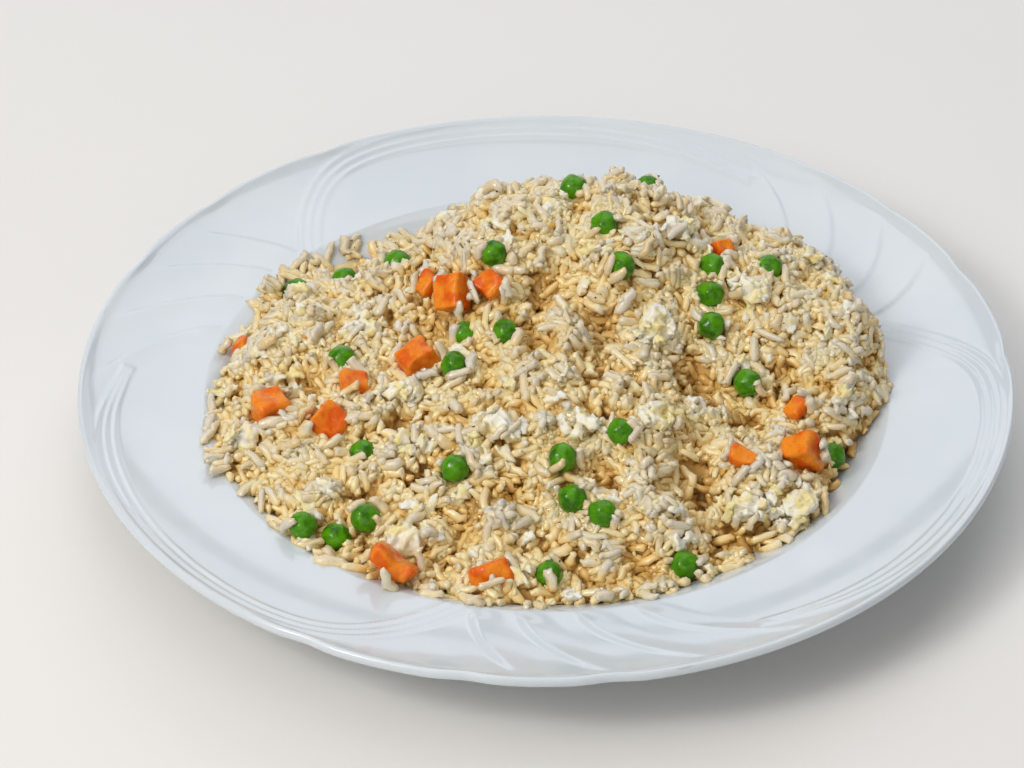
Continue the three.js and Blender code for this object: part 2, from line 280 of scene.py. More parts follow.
def new_material(name):
    """An empty node material with its shader, as (material, tree, shader)."""
    material = bpy.data.materials.new(name)
    material.use_nodes = True
    tree = material.node_tree
    return material, tree, tree.nodes["Principled BSDF"]


def add(tree, kind, inputs=(), **values):
    """Adds a node, sets its values and fills its inputs with numbers or other nodes' outputs."""
    node = tree.nodes.new(kind)
    for name, value in values.items():
        setattr(node, name, value)
    for socket, value in dict(inputs).items():
        if isinstance(value, bpy.types.NodeSocket):
            tree.links.new(value, node.inputs[socket])
        else:
            node.inputs[socket].default_value = value
    return node


def fill(tree, shader, **inputs):
    """Sets or links the shader's inputs; an underscore stands for a space."""
    for name, value in inputs.items():
        socket = shader.inputs[name.replace("_", " ")]
        if isinstance(value, bpy.types.NodeSocket):
            tree.links.new(value, socket)
        else:
            socket.default_value = value


def ramp(tree, factor, stops):
    """A colour ramp through (place, colour) stops."""
    node = add(tree, "ShaderNodeValToRGB", {"Fac": factor})
    bar = node.color_ramp.elements
    while len(bar) < len(stops):
        bar.new(0.5)
    for element, (place, tone) in zip(bar, stops):
        element.position = place
        element.color = tone
    return node.outputs["Color"]


def mix(tree, factor, first, second, blend="MIX"):
    """Mixes two colours."""
    node = add(tree, "ShaderNodeMix", data_type="RGBA", blend_type=blend)
    for index, value in ((0, factor), (6, first), (7, second)):
        if isinstance(value, bpy.types.NodeSocket):
            tree.links.new(value, node.inputs[index])
        else:
            node.inputs[index].default_value = value
    return node.outputs[2]


def spread(tree, value, low, high, to_low=0.0, to_high=1.0):
    """Maps a range of a value onto another one, smoothly."""
    return add(tree, "ShaderNodeMapRange",
               {"Value": value, "From Min": low, "From Max": high, "To Min": to_low,
                "To Max": to_high}, interpolation_type="SMOOTHSTEP").outputs["Result"]


def speckle(tree, place, size_mm, detail=2.0, roughness=0.5):
    """Noise whose features are about size_mm across."""
    return add(tree, "ShaderNodeTexNoise",
               {"Vector": place, "Scale": 1 / (size_mm * MM), "Detail": detail,
                "Roughness": roughness}).outputs["Fac"]


def bump(tree, height, depth_mm, strength=1.0, under=None):
    """Bump whose height runs over depth_mm."""
    inputs = {"Height": height, "Distance": depth_mm * MM, "Strength": strength}
    if under is not None:
        inputs["Normal"] = under
    return add(tree, "ShaderNodeBump", inputs).outputs["Normal"]


def object_place(tree):
    """The point on the object, in metres."""
    return add(tree, "ShaderNodeTexCoord").outputs["Object"]


# ---------------------------------------------------------------- plate

WELL_FLOOR_RADIUS, WELL_FLOOR_HEIGHT = 88.0, 8.0
WELL_EDGE_RADIUS, WELL_EDGE_HEIGHT = 110.5, 20.3
PLATE_THICKNESS = 4.6
FOOT_OUTER, FOOT_INNER, BASE_UNDERSIDE = 80.0, 73.0, 3.2
FAN_START, FAN_PITCH = 17.0, 120.0
# Single leaves of a fan: where each crest leaves the well and how far it sweeps, in degrees.
LEAVES = ((2, 10), (9, 14), (18, 17), (27, 21))
LEAF_WIDTH, LEAF_EDGE = 11.0, 2.0
# Band of three cords beside a fan, along its middle: radius and degrees past the fan's start.
CORD_PATH = ((107, 1), (113, -1.2), (120, -4), (127, -7.0), (133, -10), (138, -13.2), (141.6, -17),
             (143.6, -22), (144.4, -28), (144.6, -36), (144.4, -46), (143.8, -55), (142.4, -63),
             (140.2, -69), (137.6, -74), (135.4, -79))
CORD_SPACING, CORD_WIDTH = 3.1, 0.85
LIP_NOTCHES, NOTCH_WIDTH = (-15, 4, 20), 2.6


def eased(value):
    """Smooth step from 0 to 1."""
    value = np.clip(value, 0, 1)
    return value * value * (3 - 2 * value)


def plate_top(radius):
    """Height of the plate's upper face without its mouldings, in millimetres."""
    rim_height = settings("rice_plate").rim_height / MM
    edge = settings("rice_plate").radius / MM
    wall = np.clip((radius - WELL_FLOOR_RADIUS) / (WELL_EDGE_RADIUS - WELL_FLOOR_RADIUS), 0, 1)
    rim = np.clip((radius - WELL_EDGE_RADIUS) / (edge - WELL_EDGE_RADIUS), 0, 1)
    return (WELL_FLOOR_HEIGHT
            + (0.55 * eased(wall) + 0.45 * wall**1.6) * (WELL_EDGE_HEIGHT - WELL_FLOOR_HEIGHT)
            + (0.42 * rim + 0.58 * rim**3) * (rim_height - WELL_EDGE_HEIGHT))


def plate_under(radius):
    """Height of the underside of the wall and rim."""
    slope = plate_top(radius + 0.5) - plate_top(radius - 0.5)
    return plate_top(radius) - PLATE_THICKNESS * np.hypot(1, slope)


def fan_turn(degrees, low):
    """Degrees past the start of the nearest fan, counted from low."""
    return (degrees - FAN_START - low) % FAN_PITCH + low


def through(points, count):
    """Even samples of a smooth curve through the points."""
    points = np.asarray(points, float)
    padded = np.vstack([2 * points[0] - points[1], points, 2 * points[-1] - points[-2]])
    places = np.linspace(0, len(points) - 1 - 1e-9, count)
    k = places.astype(int)
    t = (places - k)[:, None]
    a, b, c, d = (padded[k + i] for i in range(4))
    return 0.5 * (2 * b + (c - a) * t + (2 * a - 5 * b + 4 * c - d) * t**2
                  + (3 * b - a - 3 * c + d) * t**3)


def cord_lines():
    """The three cords beside a fan that starts on the X axis, as lists of points."""
    path = through(CORD_PATH, 260)
    turn = np.radians(path[:, 1])
    line = np.stack([path[:, 0] * np.cos(turn), path[:, 0] * np.sin(turn)], 1)
    along = np.gradient(line, axis=0)
    across = np.stack([along[:, 1], -along[:, 0]], 1) / np.linalg.norm(along, axis=1)[:, None]
    closing = 1 - 0.55 * eased((np.arange(len(line)) / len(line) - 0.72) / 0.28)[:, None]
    return [line + across * CORD_SPACING * side * closing for side in (-1, 0, 1)]


def rim_relief(radius, degrees):
    """Height of the moulded leaves and cords on the rim."""
    leaf_relief = settings("rice_plate").leaf_relief / MM
    cord_relief = settings("rice_plate").cord_relief / MM
    edge = settings("rice_plate").radius / MM
    out = np.clip((radius - WELL_EDGE_RADIUS) / (edge - WELL_EDGE_RADIUS), 0, 1)
    fade = eased((out + 0.02) / 0.20) * eased((0.97 - out) / 0.42)
    turn = fan_turn(degrees, -40)
    height = np.zeros_like(radius)
    for start, sweep in LEAVES:
        past = np.radians(turn - start - sweep * out**1.5) * radius
        rise = eased((past + LEAF_EDGE) / LEAF_EDGE)
        fall = np.clip(1 - past / LEAF_WIDTH, 0, 1) ** 1.4
        height += np.where(past < 0, rise, fall) * leaf_relief * fade
    turn = np.radians(fan_turn(degrees, -92))
    places = np.stack([radius * np.cos(turn), radius * np.sin(turn)], 1)
    ends = eased((radius - 107.5) / 4)
    for line in cord_lines():
        for begin in range(0, len(places), 20000):
            part = slice(begin, begin + 20000)
            gap = np.min(np.linalg.norm(places[part, None] - line[None], axis=2), axis=1)
            height[part] += cord_relief * np.exp(-((gap / CORD_WIDTH) ** 2)) * ends[part]
    return height


def lip_notch(degrees):
    """How far the notches cut into the lip at each angle."""
    turn = fan_turn(degrees, -40)
    depth = settings("rice_plate").notch_depth / MM
    return depth * np.max([np.exp(-(((turn - n) / NOTCH_WIDTH) ** 2)) for n in LIP_NOTCHES], axis=0)


def plate_angles():
    """Angles of the plate's sections in degrees, closer together across the fans."""
    return np.concatenate([
        FAN_START + k * FAN_PITCH + np.concatenate([np.arange(-26, 52, 0.5), np.arange(52, 94, 1.0)])
        for k in range(3)
    ])


def plate_section():
    """The plate's half section, from the middle of the well to the middle of the base.

    Each row is the radius, the height, how much of the rim's relief it has and how far it
    follows the lip's notches."""
    rows = [(r, plate_top(r), 0.0, 0.0) for r in (8, 20, 34, 48, 62, 74, 82, 86, 89, 92, 95, 98,
                                                  101, 104)]
    rows += [(r, plate_top(r), 1.0, 0.0) for r in np.arange(106.0, 145.01, 0.5)]
    lip = through([(145.0, plate_top(145.0)), (146.6, plate_top(146.6) + 0.15), (148.1, 28.85),
                   (149.1, 29.18), (149.8, 28.75), (150.0, 27.75), (149.75, 26.6), (148.9, 25.6),
                   (147.3, 24.85), (145.0, 23.9), (142.0, float(plate_under(142.0)))], 23)[1:]
    lip_length = len(lip)
    for k, (r, z) in enumerate(lip):
        rows.append((r, z, max(0.0, 1 - k / 7), min(1.0, k / 4, (lip_length - 1 - k) / 6)))
    rows += [(r, plate_under(r), 0.0, 0.0) for r in np.arange(139, 88, -2.5)]
    rows += [(r, z, 0.0, 0.0) for r, z in through(
        [(87.5, float(plate_under(87.5))), (83.5, 2.9), (81.6, 2.1), (80.3, 0.7), (79.3, 0.0),
         (74.0, 0.0), (72.9, 0.5), (72.0, 1.8), (70.0, 2.9), (66.0, 3.2)], 26)]
    rows += [(r, BASE_UNDERSIDE, 0.0, 0.0) for r in (54, 40, 26, 12)]
    return np.array(rows, float)


def porcelain():
    """Glazed hotel porcelain, pressed and glost fired: cool white under a deep clear gloss.

    The eye sees a thick glaze, faint grey metal marks
    where cutlery and other plates have touched the lip, and a dry buff ring on the foot."""
    values = settings("rice_plate")
    material, tree, shader = new_material("glazed_porcelain")
    place = object_place(tree)
    axes = add(tree, "ShaderNodeSeparateXYZ", {"Vector": place})
    flat = add(tree, "ShaderNodeCombineXYZ", {"X": axes.outputs["X"], "Y": axes.outputs["Y"]})
    radius = add(tree, "ShaderNodeVectorMath", {0: flat.outputs["Vector"]},
                 operation="LENGTH").outputs["Value"]
    cloud = speckle(tree, place, 45, 3)
    body = mix(tree, spread(tree, cloud, 0.35, 0.65), values.glaze, linear("#CCD4DB"))
    # Metal marks: thin streaks of noise stretched round the lip, only near it.
    angle = add(tree, "ShaderNodeMath", {0: axes.outputs["Y"], 1: axes.outputs["X"]},
                operation="ARCTAN2").outputs["Value"]
    streak_place = add(tree, "ShaderNodeCombineXYZ", {"X": angle, "Y": radius,
                                                      "Z": axes.outputs["Z"]}).outputs["Vector"]
    stretched = add(tree, "ShaderNodeMapping", {"Vector": streak_place,
                                                "Scale": (14.0, 900.0, 500.0)}).outputs["Vector"]
    streaks = add(tree, "ShaderNodeTexNoise", {"Vector": stretched, "Scale": 1.0, "Detail": 3.0,
                                               "Roughness": 0.6}).outputs["Fac"]
    near_lip = spread(tree, radius, 0.1455, 0.1492)
    patch = spread(tree, speckle(tree, place, 16, 2), 0.52, 0.66)
    marks = add(tree, "ShaderNodeMath", {0: spread(tree, streaks, 0.60, 0.74), 1: near_lip},
                operation="MULTIPLY").outputs["Value"]
    marks = add(tree, "ShaderNodeMath", {0: marks, 1: patch}, operation="MULTIPLY").outputs["Value"]
    marks = add(tree, "ShaderNodeMath", {0: marks, 1: 0.55}, operation="MULTIPLY").outputs["Value"]
    body = mix(tree, marks, body, values.scuff)
    # The foot's flat face is wiped clean of glaze.
    dry = spread(tree, axes.outputs["Z"], 0.0009, 0.0003)
    grain = speckle(tree, place, 0.6, 2)
    biscuit = mix(tree, grain, values.biscuit, linear("#B3A998"))
    body = mix(tree, dry, body, biscuit)
    gloss = spread(tree, speckle(tree, place, 9, 2), 0.3, 0.7, 0.10, 0.17)
    rough = add(tree, "ShaderNodeMath", {0: gloss, 1: dry}, operation="ADD").outputs["Value"]
    rough = add(tree, "ShaderNodeMath", {0: rough, 1: marks}, operation="ADD",
                use_clamp=True).outputs["Value"]
    wave = bump(tree, speckle(tree, place, 22, 0), 0.10, 0.5)
    fill(tree, shader, Base_Color=body, Roughness=rough, IOR=1.52, Normal=wave,
         Coat_Weight=0.35, Coat_Roughness=0.06)
    return material


class RICE_OT_plate(bpy.types.Operator):
    """Builds the wide-rimmed plate with its moulded leaves, cords and notched lip"""

    bl_idname = "rice.plate"
    bl_label = "Plate"

    def execute(self, context):
        degrees = plate_angles()
        turn = np.radians(degrees)
        section = plate_section()
        sides = len(degrees)
        notch = lip_notch(degrees)
        radius = section[:, 0][:, None] - section[:, 3][:, None] * notch[None]
        height = np.repeat(section[:, 1][:, None], sides, 1)
        moulded = section[:, 2] > 0
        relief = rim_relief(radius[moulded].ravel(), np.tile(degrees, moulded.sum()))
        height[moulded] += relief.reshape(-1, sides) * section[moulded, 2][:, None]
        height = np.maximum(height, 0)
        points = np.stack([radius * np.cos(turn), radius * np.sin(turn), height], 2).reshape(-1, 3)
        points = np.vstack([[0, 0, WELL_FLOOR_HEIGHT], points, [0, 0, BASE_UNDERSIDE]])
        plate = object_from("plate_body", points, revolved_faces(len(section), sides), porcelain())
        finished(plate, ["plate"])
        return {"FINISHED"}


# ---------------------------------------------------------------- heap

GRID_STEP = 1.0
GRID_REACH = 124.0
# How far the core lies under the heap's surface and inside its outline, the rows of its grid,
# and the gap that it keeps to the plate at its face and at its base.
CORE_SINK, CORE_INSET, CORE_ROWS = 5.0, 3.0, 286
CORE_LIFT, CORE_BASE = 0.35, 0.3
# Dips between the clumps of the heap: x, y, width and depth.
HOLLOWS = ((50, -60, 13, 10), (47, -34, 10, 7), (46, 13, 10, 7.5), (64, 43, 8, 5.5),
           (40, -86, 8, 5), (65, -22, 8, 7.5), (90, -19, 8, 5.5), (15, -16, 6, 5),
           (22, -38, 6, 6.5), (7, -62, 7, 7), (1.3, -87, 8, 5), (-29, -62, 6, 5), (-28, 8, 7, 6),
           (-62, -76, 9, 4), (43, -8, 7, 6.5), (-9, -38, 6, 4.5), (-70, -20, 7, 4),
           (-25, -24, 7, 5), (-7, -23, 6, 4), (15, -25, 6, 6), (74, -17, 8, 6), (88, -12, 6, 5),
           (-8, -55, 7, 4), (20, -52, 6, 5), (-20, -69, 7, 5), (-46, -73, 6, 4), (17, 11, 7, 4),
           (39, 37, 6, 3), (-36, -54, 6, 4), (53, -49, 6, 4))


def grid_index(values, step=GRID_STEP, last=int(2 * GRID_REACH / GRID_STEP)):
    """Number of the grid's row or column nearest to each value."""
    return np.clip(np.rint((values + GRID_REACH) / step).astype(int), 0, last)


class Field:
    """Heights on a square grid over the plate, in millimetres."""

    def __init__(self, heights):
        self.heights = heights

    def at(self, x, y):
        """Height at each place, between the grid's points."""
        last = self.heights.shape[0] - 1.001
        u = np.clip((x + GRID_REACH) / GRID_STEP, 0, last)
        v = np.clip((y + GRID_REACH) / GRID_STEP, 0, last)
        i, j = u.astype(int), v.astype(int)
        u, v = u - i, v - j
        h = self.heights
        return ((h[i, j] * (1 - u) + h[i + 1, j] * u) * (1 - v)
                + (h[i, j + 1] * (1 - u) + h[i + 1, j + 1] * u) * v)


def grid_places():
    """Places of the grid's points, as two square arrays."""
    line = np.arange(-GRID_REACH, GRID_REACH + GRID_STEP / 2, GRID_STEP)
    return np.meshgrid(line, line, indexing="ij")


def shifted(values, i, j):
    """The grid moved by whole steps, its border repeated."""
    rows = np.clip(np.arange(values.shape[0]) + i, 0, values.shape[0] - 1)
    columns = np.clip(np.arange(values.shape[1]) + j, 0, values.shape[1] - 1)
    return values[np.ix_(rows, columns)]


def closed_over(values, reach):
    """Fills hollows that are narrower than twice the reach."""
    steps = [(i, j) for i in range(-reach, reach + 1) for j in range(-reach, reach + 1)
             if i * i + j * j <= reach * reach]
    top = np.max([shifted(values, i, j) for i, j in steps], axis=0)
    return np.min([shifted(top, i, j) for i, j in steps], axis=0)


def blurred(values, sigma):
    """Gaussian blur of a grid."""
    reach = int(3 * sigma + 1)
    weights = np.exp(-0.5 * (np.arange(-reach, reach + 1) / sigma) ** 2)
    weights /= weights.sum()
    for axis in (0, 1):
        values = sum(w * shifted(values, *((k, 0) if axis == 0 else (0, k)))
                     for w, k in zip(weights, range(-reach, reach + 1)))
    return values


def soft_noise(x, y, size, seed):
    """Smooth noise from -1 to 1 with features of that size, from fixed random waves."""
    draw = np.random.default_rng(seed)
    total = np.zeros_like(x, float)
    for _ in range(14):
        turn, phase = draw.uniform(0, 2 * math.pi, 2)
        wave = 2 * math.pi / (size * draw.uniform(1.1, 2.6))
        total += np.sin(wave * (x * math.cos(turn) + y * math.sin(turn)) + phase)
    return total / math.sqrt(14 / 2) / 1.6


def heap_surface():
    """The heap's mean surface and its footprint, read from the CAD solid."""
    x, y = grid_places()
    solid = bmesh.new()
    solid.from_mesh(frame["nodes"]["rice_heap"].data)
    bmesh.ops.remove_doubles(solid, verts=solid.verts, dist=1e-6)
    tree = BVHTree.FromBMesh(solid)
    solid.free()
    plate = plate_top(np.hypot(x, y))
    top = plate.copy()
    covered = np.zeros(x.shape, bool)
    for i, j in np.ndindex(x.shape):
        if x[i, j] ** 2 + y[i, j] ** 2 < 120**2:
            hit = tree.ray_cast(Vector((x[i, j], y[i, j], 120)) * MM, Vector((0, 0, -1)))[0]
            if hit:
                top[i, j] = hit.z / MM
                covered[i, j] = True
    near = np.zeros(x.shape)
    for topping in toppings():
        near = np.maximum(near, eased((1.35 - out_from(topping, x, y, 3)) / 0.35))
    top = top * (1 - near) + closed_over(top, 7) * near
    weight = blurred(covered.astype(float), 1.6)
    mean = blurred(np.where(covered, top - plate, 0), 1.6) / np.maximum(weight, 0.05)
    top = plate + np.where(covered, mean, 0)
    return Field(top), Field(covered.astype(float)), Field(plate)


def slopes(field):
    """Upward normals of a field, as a grid of unit vectors."""
    gx, gy = np.gradient(field.heights, GRID_STEP)
    normal = np.stack([-gx, -gy, np.ones_like(gx)], 2)
    return normal / np.linalg.norm(normal, axis=2)[..., None]


# Gaps deeper than this get a grain, at a depth between these two, in millimetres.
GAP_DEPTH, GAP_GRAINS = 2.9, (3.2, 4.6)
# Kinds of bodies that are packed together.
GRAIN, SHRED, BIT, CURD, CLUMP = range(5)
# Least and greatest length, then least and greatest radius, of those that aren't grains, in mm.
BODY_SIZES = {
    SHRED: ((3.2, 6.2), (0.9, 1.5)),
    CURD: ((6.5, 12.0), (1.8, 3.0)),
    CLUMP: ((8.5, 10.0), (1.9, 2.3)),
    BIT: ((2.0, 3.6), (0.5, 0.85)),
}


class Packing:
    """Grains, crumbs and bits that lie close together in a shell under the heap's surface.

    Each body is a short row of balls. Balls that overlap push each other apart until little
    overlap is left, and stay between the surface, the plate and the toppings."""

    BALLS = np.array([-1, -1 / 3, 1 / 3, 1])

    def __init__(self):
        values = settings("rice_grain")
        self.draw = np.random.default_rng(values.seed)
        self.top, self.covered, self.plate = heap_surface()
        self.depth = values.shell_depth / MM
        x, y = grid_places()
        rough = (0.6 * soft_noise(x, y, 6, 11) + 2.6 * soft_noise(x, y, 12, 12)
                 + 3.3 * soft_noise(x, y, 20, 13) + 1.0)
        for hx, hy, wide, deep in HOLLOWS:
            rough -= deep * np.exp(-((x - hx) ** 2 + (y - hy) ** 2) / (0.5 * wide**2) / 2)
        inside = self.covered.heights > 0.5
        thick = np.where(inside, self.top.heights - self.plate.heights, 0)
        calm = np.clip((thick - 3) / 7, 0, 1)
        self.toppings = toppings()
        collar = np.zeros(x.shape)
        for topping in self.toppings:
            collar = np.maximum(collar, eased((1.9 - out_from(topping, x, y, 2)) / 0.9))
        roof = np.where(inside, self.top.heights + (rough * (1 - 0.75 * collar) + collar) * calm,
                        self.plate.heights + values.grain_width / MM * 1.02)
        self.roof = Field(roof)
        self.normals = slopes(Field(blurred(roof, 1.2)))
        self.thick = thick
        self.scatter()

    def scatter(self):
        """First places, directions and sizes of all bodies."""
        values, egg, fleck = settings("rice_grain"), settings("rice_egg"), settings("rice_fleck")
        draw = self.draw
        x, y = grid_places()
        steep = 1 / self.normals[..., 2]
        room = np.clip(self.thick, 0, self.depth) * steep
        for centre, half in self.toppings:
            inside = ((x - centre[0]) / half[0]) ** 2 + ((y - centre[1]) / half[1]) ** 2 < 0.8
            room = np.where(inside, room * 0.45, room)
        grain_long, grain_radius = values.grain_length / MM, values.grain_width / MM / 2
        volume = math.pi * grain_radius**2 * (grain_long - 2 * grain_radius / 3)
        grains = int(room.sum() * GRID_STEP**2 * values.fill / volume) + values.strays
        count = sum((grains, egg.crumbs, fleck.bits, egg.lumps, values.clumps))
        cells = draw.choice(x.size, count, p=(room / room.sum()).ravel())
        px = x.ravel()[cells] + draw.uniform(-0.5, 0.5, count)
        py = y.ravel()[cells] + draw.uniform(-0.5, 0.5, count)
        normal = self.normals.reshape(-1, 3)[cells]
        deep = draw.uniform(0, 1, count) * np.minimum(self.thick.ravel()[cells], self.depth)
        many = (grains, egg.crumbs, fleck.bits, egg.lumps, values.clumps)
        self.kind = np.repeat((GRAIN, SHRED, BIT, CURD, CLUMP), many)
        stray = np.arange(count) < values.strays
        deep = np.where(self.kind != GRAIN, deep * 0.3, deep)
        deep = np.where(self.kind == CLUMP, 0.9 + 1.6 * deep, deep)
        deep = np.where(self.kind == CURD, 0.0, deep)
        deep = np.where(stray, -2.2, deep)
        place = np.stack([px, py, self.roof.at(px, py)], 1)
        place -= normal * (deep + grain_radius)[:, None]
        # Neighbours tend to lie the same way, as they do in a clump.
        turn = 3.4 * soft_noise(px, py, 15, 21) + draw.normal(0, 0.62, count)
        flat = np.stack([np.cos(turn), np.sin(turn), 0 * turn], 1)
        flat -= normal * np.sum(flat * normal, 1)[:, None]
        flat /= np.linalg.norm(flat, axis=1)[:, None]
        lift = draw.normal(0, 0.58, count)
        along = flat * np.cos(lift)[:, None] + normal * np.sin(lift)[:, None]
        long = grain_long * np.clip(draw.normal(1, 0.15, count), 0.68, 1.35)
        broken = draw.uniform(0, 1, count) < 0.13
        long = np.where(broken, long * draw.uniform(0.45, 0.72, count), long)
        radius = grain_radius * np.clip(draw.normal(1, 0.10, count), 0.78, 1.22)
        for kind, (lengths, radii) in BODY_SIZES.items():
            long = np.where(self.kind == kind, draw.uniform(*lengths, count), long)
            radius = np.where(self.kind == kind, draw.uniform(*radii, count), radius)
        self.place, self.along, self.long, self.radius = place, along, long, radius
        # Grains that lean on the toppings, small curds torn off the large ones, then loose
        # grains beside the heap, flat on the plate.
        lean, lean_along = self.leaning(values.leaning, self.toppings)
        torn, torn_along = self.leaning(egg.torn, self.toppings[-len(nodes_of("egg")):])
        self.join(GRAIN, lean, lean_along, grain_long * draw.uniform(0.75, 1.1, len(lean)),
                  grain_radius)
        self.join(CURD, torn, torn_along, draw.uniform(5.0, 9.0, len(torn)),
                  draw.uniform(1.6, 2.4, len(torn)))
        in_heap = len(self.place)
        edge = self.edge_places(values.loose)
        turn = draw.uniform(0, 2 * math.pi, len(edge))
        self.join(GRAIN, edge, np.stack([np.cos(turn), np.sin(turn), 0 * turn], 1),
                  grain_long * draw.uniform(0.7, 1.1, len(edge)), grain_radius)
        # How far each body may stand out of the roof.
        self.proud = np.clip(draw.normal(0.15, 0.75, len(self.place)), -1.2, 1.7)
        self.proud[self.kind != GRAIN] = 0.8
        self.proud[self.kind == CURD] = 1.6
        self.proud[: values.strays] = draw.uniform(1.2, 3.6, values.strays)
        self.proud[count:in_heap] = 9.0
        self.proud[in_heap:] = 0

    def join(self, kind, place, along, long, radius):
        """Adds bodies of one kind to the packing."""
        more = {"kind": kind, "place": place, "along": along, "long": long, "radius": radius}
        for name, values in more.items():
            if np.ndim(values) == 0:
                values = np.full(len(place), values)
            setattr(self, name, np.concatenate([getattr(self, name), values]))

    def leaning(self, count, toppings):
        """Places and directions of count bodies round the upper half of each topping."""
        places, directions = [], []
        for centre, half in toppings:
            turn = self.draw.uniform(0, 2 * math.pi, count)
            rise = self.draw.uniform(-0.1, 0.6, count)
            out = np.stack([np.cos(turn) * np.cos(rise), np.sin(turn) * np.cos(rise),
                            np.sin(rise)], 1)
            tangent = np.cross(out, self.draw.normal(size=(count, 3)))
            places.append(centre + out * (half + 0.9))
            directions.append(tangent / np.linalg.norm(tangent, axis=1)[:, None])
        return np.vstack(places), np.vstack(directions)

    def edge_places(self, count):
        """Places on the plate a little way out from the heap's outline."""
        turn = self.draw.uniform(0, 2 * math.pi, count)
        reach = np.arange(60.0, 122.0, 0.5)
        x, y = np.cos(turn)[:, None] * reach, np.sin(turn)[:, None] * reach
        outline = np.max(np.where(self.covered.at(x, y) > 0.5, reach, 0), axis=1)
        out = outline + 1.0 + np.minimum(self.draw.exponential(1.6, count), 4.5)
        z = plate_top(out) + 1.2
        return np.stack([out * np.cos(turn), out * np.sin(turn), z], 1)

    def balls(self):
        """Centres, radii, levers and owners of all balls."""
        lever = (self.long / 2 - self.radius)[:, None] * self.BALLS
        centre = self.place[:, None] + lever[..., None] * self.along[:, None]
        owner = np.repeat(np.arange(len(self.place)), len(self.BALLS))
        radius = np.repeat(self.radius, len(self.BALLS))
        return centre.reshape(-1, 3), radius, lever.ravel(), owner

    @staticmethod
    def pairs(centre, cell):
        """Index pairs of balls in the same or neighbouring cells."""
        low = centre.min(0) - cell
        key3 = ((centre - low) / cell).astype(np.int64)
        span = key3.max(0) + 3
        key = (key3[:, 0] * span[1] + key3[:, 1]) * span[2] + key3[:, 2]
        order = np.argsort(key, kind="stable")
        keys = key[order]
        first, second = [], []
        half = [(0, 0, 0)] + [(i, j, k) for i in (0, 1) for j in (-1, 0, 1) for k in (-1, 0, 1)
                              if (i, j, k) > (0, 0, 0)]
        for i, j, k in half:
            want = keys + (i * span[1] + j) * span[2] + k
            begin = np.searchsorted(keys, want, "left")
            end = np.searchsorted(keys, want, "right")
            if (i, j, k) == (0, 0, 0):
                begin = np.arange(len(keys)) + 1
            many = np.maximum(end - begin, 0)
            source = np.repeat(np.arange(len(keys)), many)
            step = np.arange(many.sum()) - np.repeat(np.cumsum(many) - many, many)
            first.append(order[source])
            second.append(order[np.repeat(begin, many) + step])
        return np.concatenate(first), np.concatenate(second)

    def relax(self, rounds, softness=0.66, settling=0.06):
        """Pushes the bodies apart and lets them settle, round after round."""
        count = len(self.place)
        for turn in range(rounds):
            centre, radius, lever, owner = self.balls()
            radius = radius * softness
            push = np.zeros_like(centre)
            hits = np.zeros(len(centre))
            if turn % 3 == 0:
                first, second = self.pairs(centre, 2 * radius.max() + 0.35)
                keep = owner[first] != owner[second]
                first, second = first[keep], second[keep]
                close = np.linalg.norm(centre[first] - centre[second], axis=1)
                keep = close < radius[first] + radius[second] + 1.0
                first, second = first[keep], second[keep]
                self.near = [np.nonzero(np.abs(centre - middle).max(1) < half.max() + 4)[0]
                             for middle, half in self.toppings]
            a, b = first, second
            away = centre[a] - centre[b]
            gap = np.linalg.norm(away, axis=1) + 1e-9
            overlap = radius[a] + radius[b] - gap
            keep = overlap > 0
            a, b, away, gap, overlap = a[keep], b[keep], away[keep], gap[keep], overlap[keep]
            shove = away / gap[:, None] * overlap[:, None] * 0.5
            for axis in range(3):
                push[:, axis] += np.bincount(a, shove[:, axis], len(centre))
                push[:, axis] -= np.bincount(b, shove[:, axis], len(centre))
            hits += np.bincount(a, minlength=len(centre)) + np.bincount(b, minlength=len(centre))
            self.confine(centre, radius, owner, push, hits)
            busy = np.maximum(np.bincount(owner, hits, count), 1)
            self.place -= self.normal_at(self.place) * settling * (1 - turn / rounds)
            for axis in range(3):
                self.place[:, axis] += 1.25 * np.bincount(owner, push[:, axis], count) / busy
            across = push - np.sum(push * self.along[owner], 1)[:, None] * self.along[owner]
            weight = np.bincount(owner, lever**2 * np.maximum(hits, 0), count) + 1.5
            for axis in range(3):
                self.along[:, axis] += 0.9 * np.bincount(owner, lever * across[:, axis],
                                                         count) / weight
            self.along /= np.linalg.norm(self.along, axis=1)[:, None]

    def confine(self, centre, radius, owner, push, hits):
        """Keeps balls under the roof, inside the shell, on the plate and out of the toppings."""
        x, y, z = centre.T
        normal = self.normal_at(centre)
        deep = (self.roof.at(x, y) - z) * normal[:, 2]
        over = np.maximum(radius - self.proud[owner] - deep, 0)
        under = np.maximum(deep - self.depth, 0) * 0.5
        for amount, sign in ((over, -1), (under, 1)):
            push += normal * (sign * amount)[:, None]
            hits += amount > 0
        plate = self.plate.at(x, y) + radius - z
        sunk = np.maximum(plate, 0)
        push[:, 2] += sunk
        hits += sunk > 0
        for (middle, half), near in zip(self.toppings, self.near):
            away = centre[near] - middle
            room = half * 0.80 + radius[near][:, None]
            reach = np.linalg.norm(away / room, axis=1) + 1e-9
            inside = reach < 1
            near, away, reach = near[inside], away[inside], reach[inside]
            out = away / half**2
            out /= np.linalg.norm(out, axis=1)[:, None] + 1e-9
            push[near] += out * ((1 - reach) * half.min())[:, None]
            hits[near] += 1

    def normal_at(self, place):
        """The heap's upward normal over or under each place."""
        return self.normals[grid_index(place[:, 0]), grid_index(place[:, 1])]

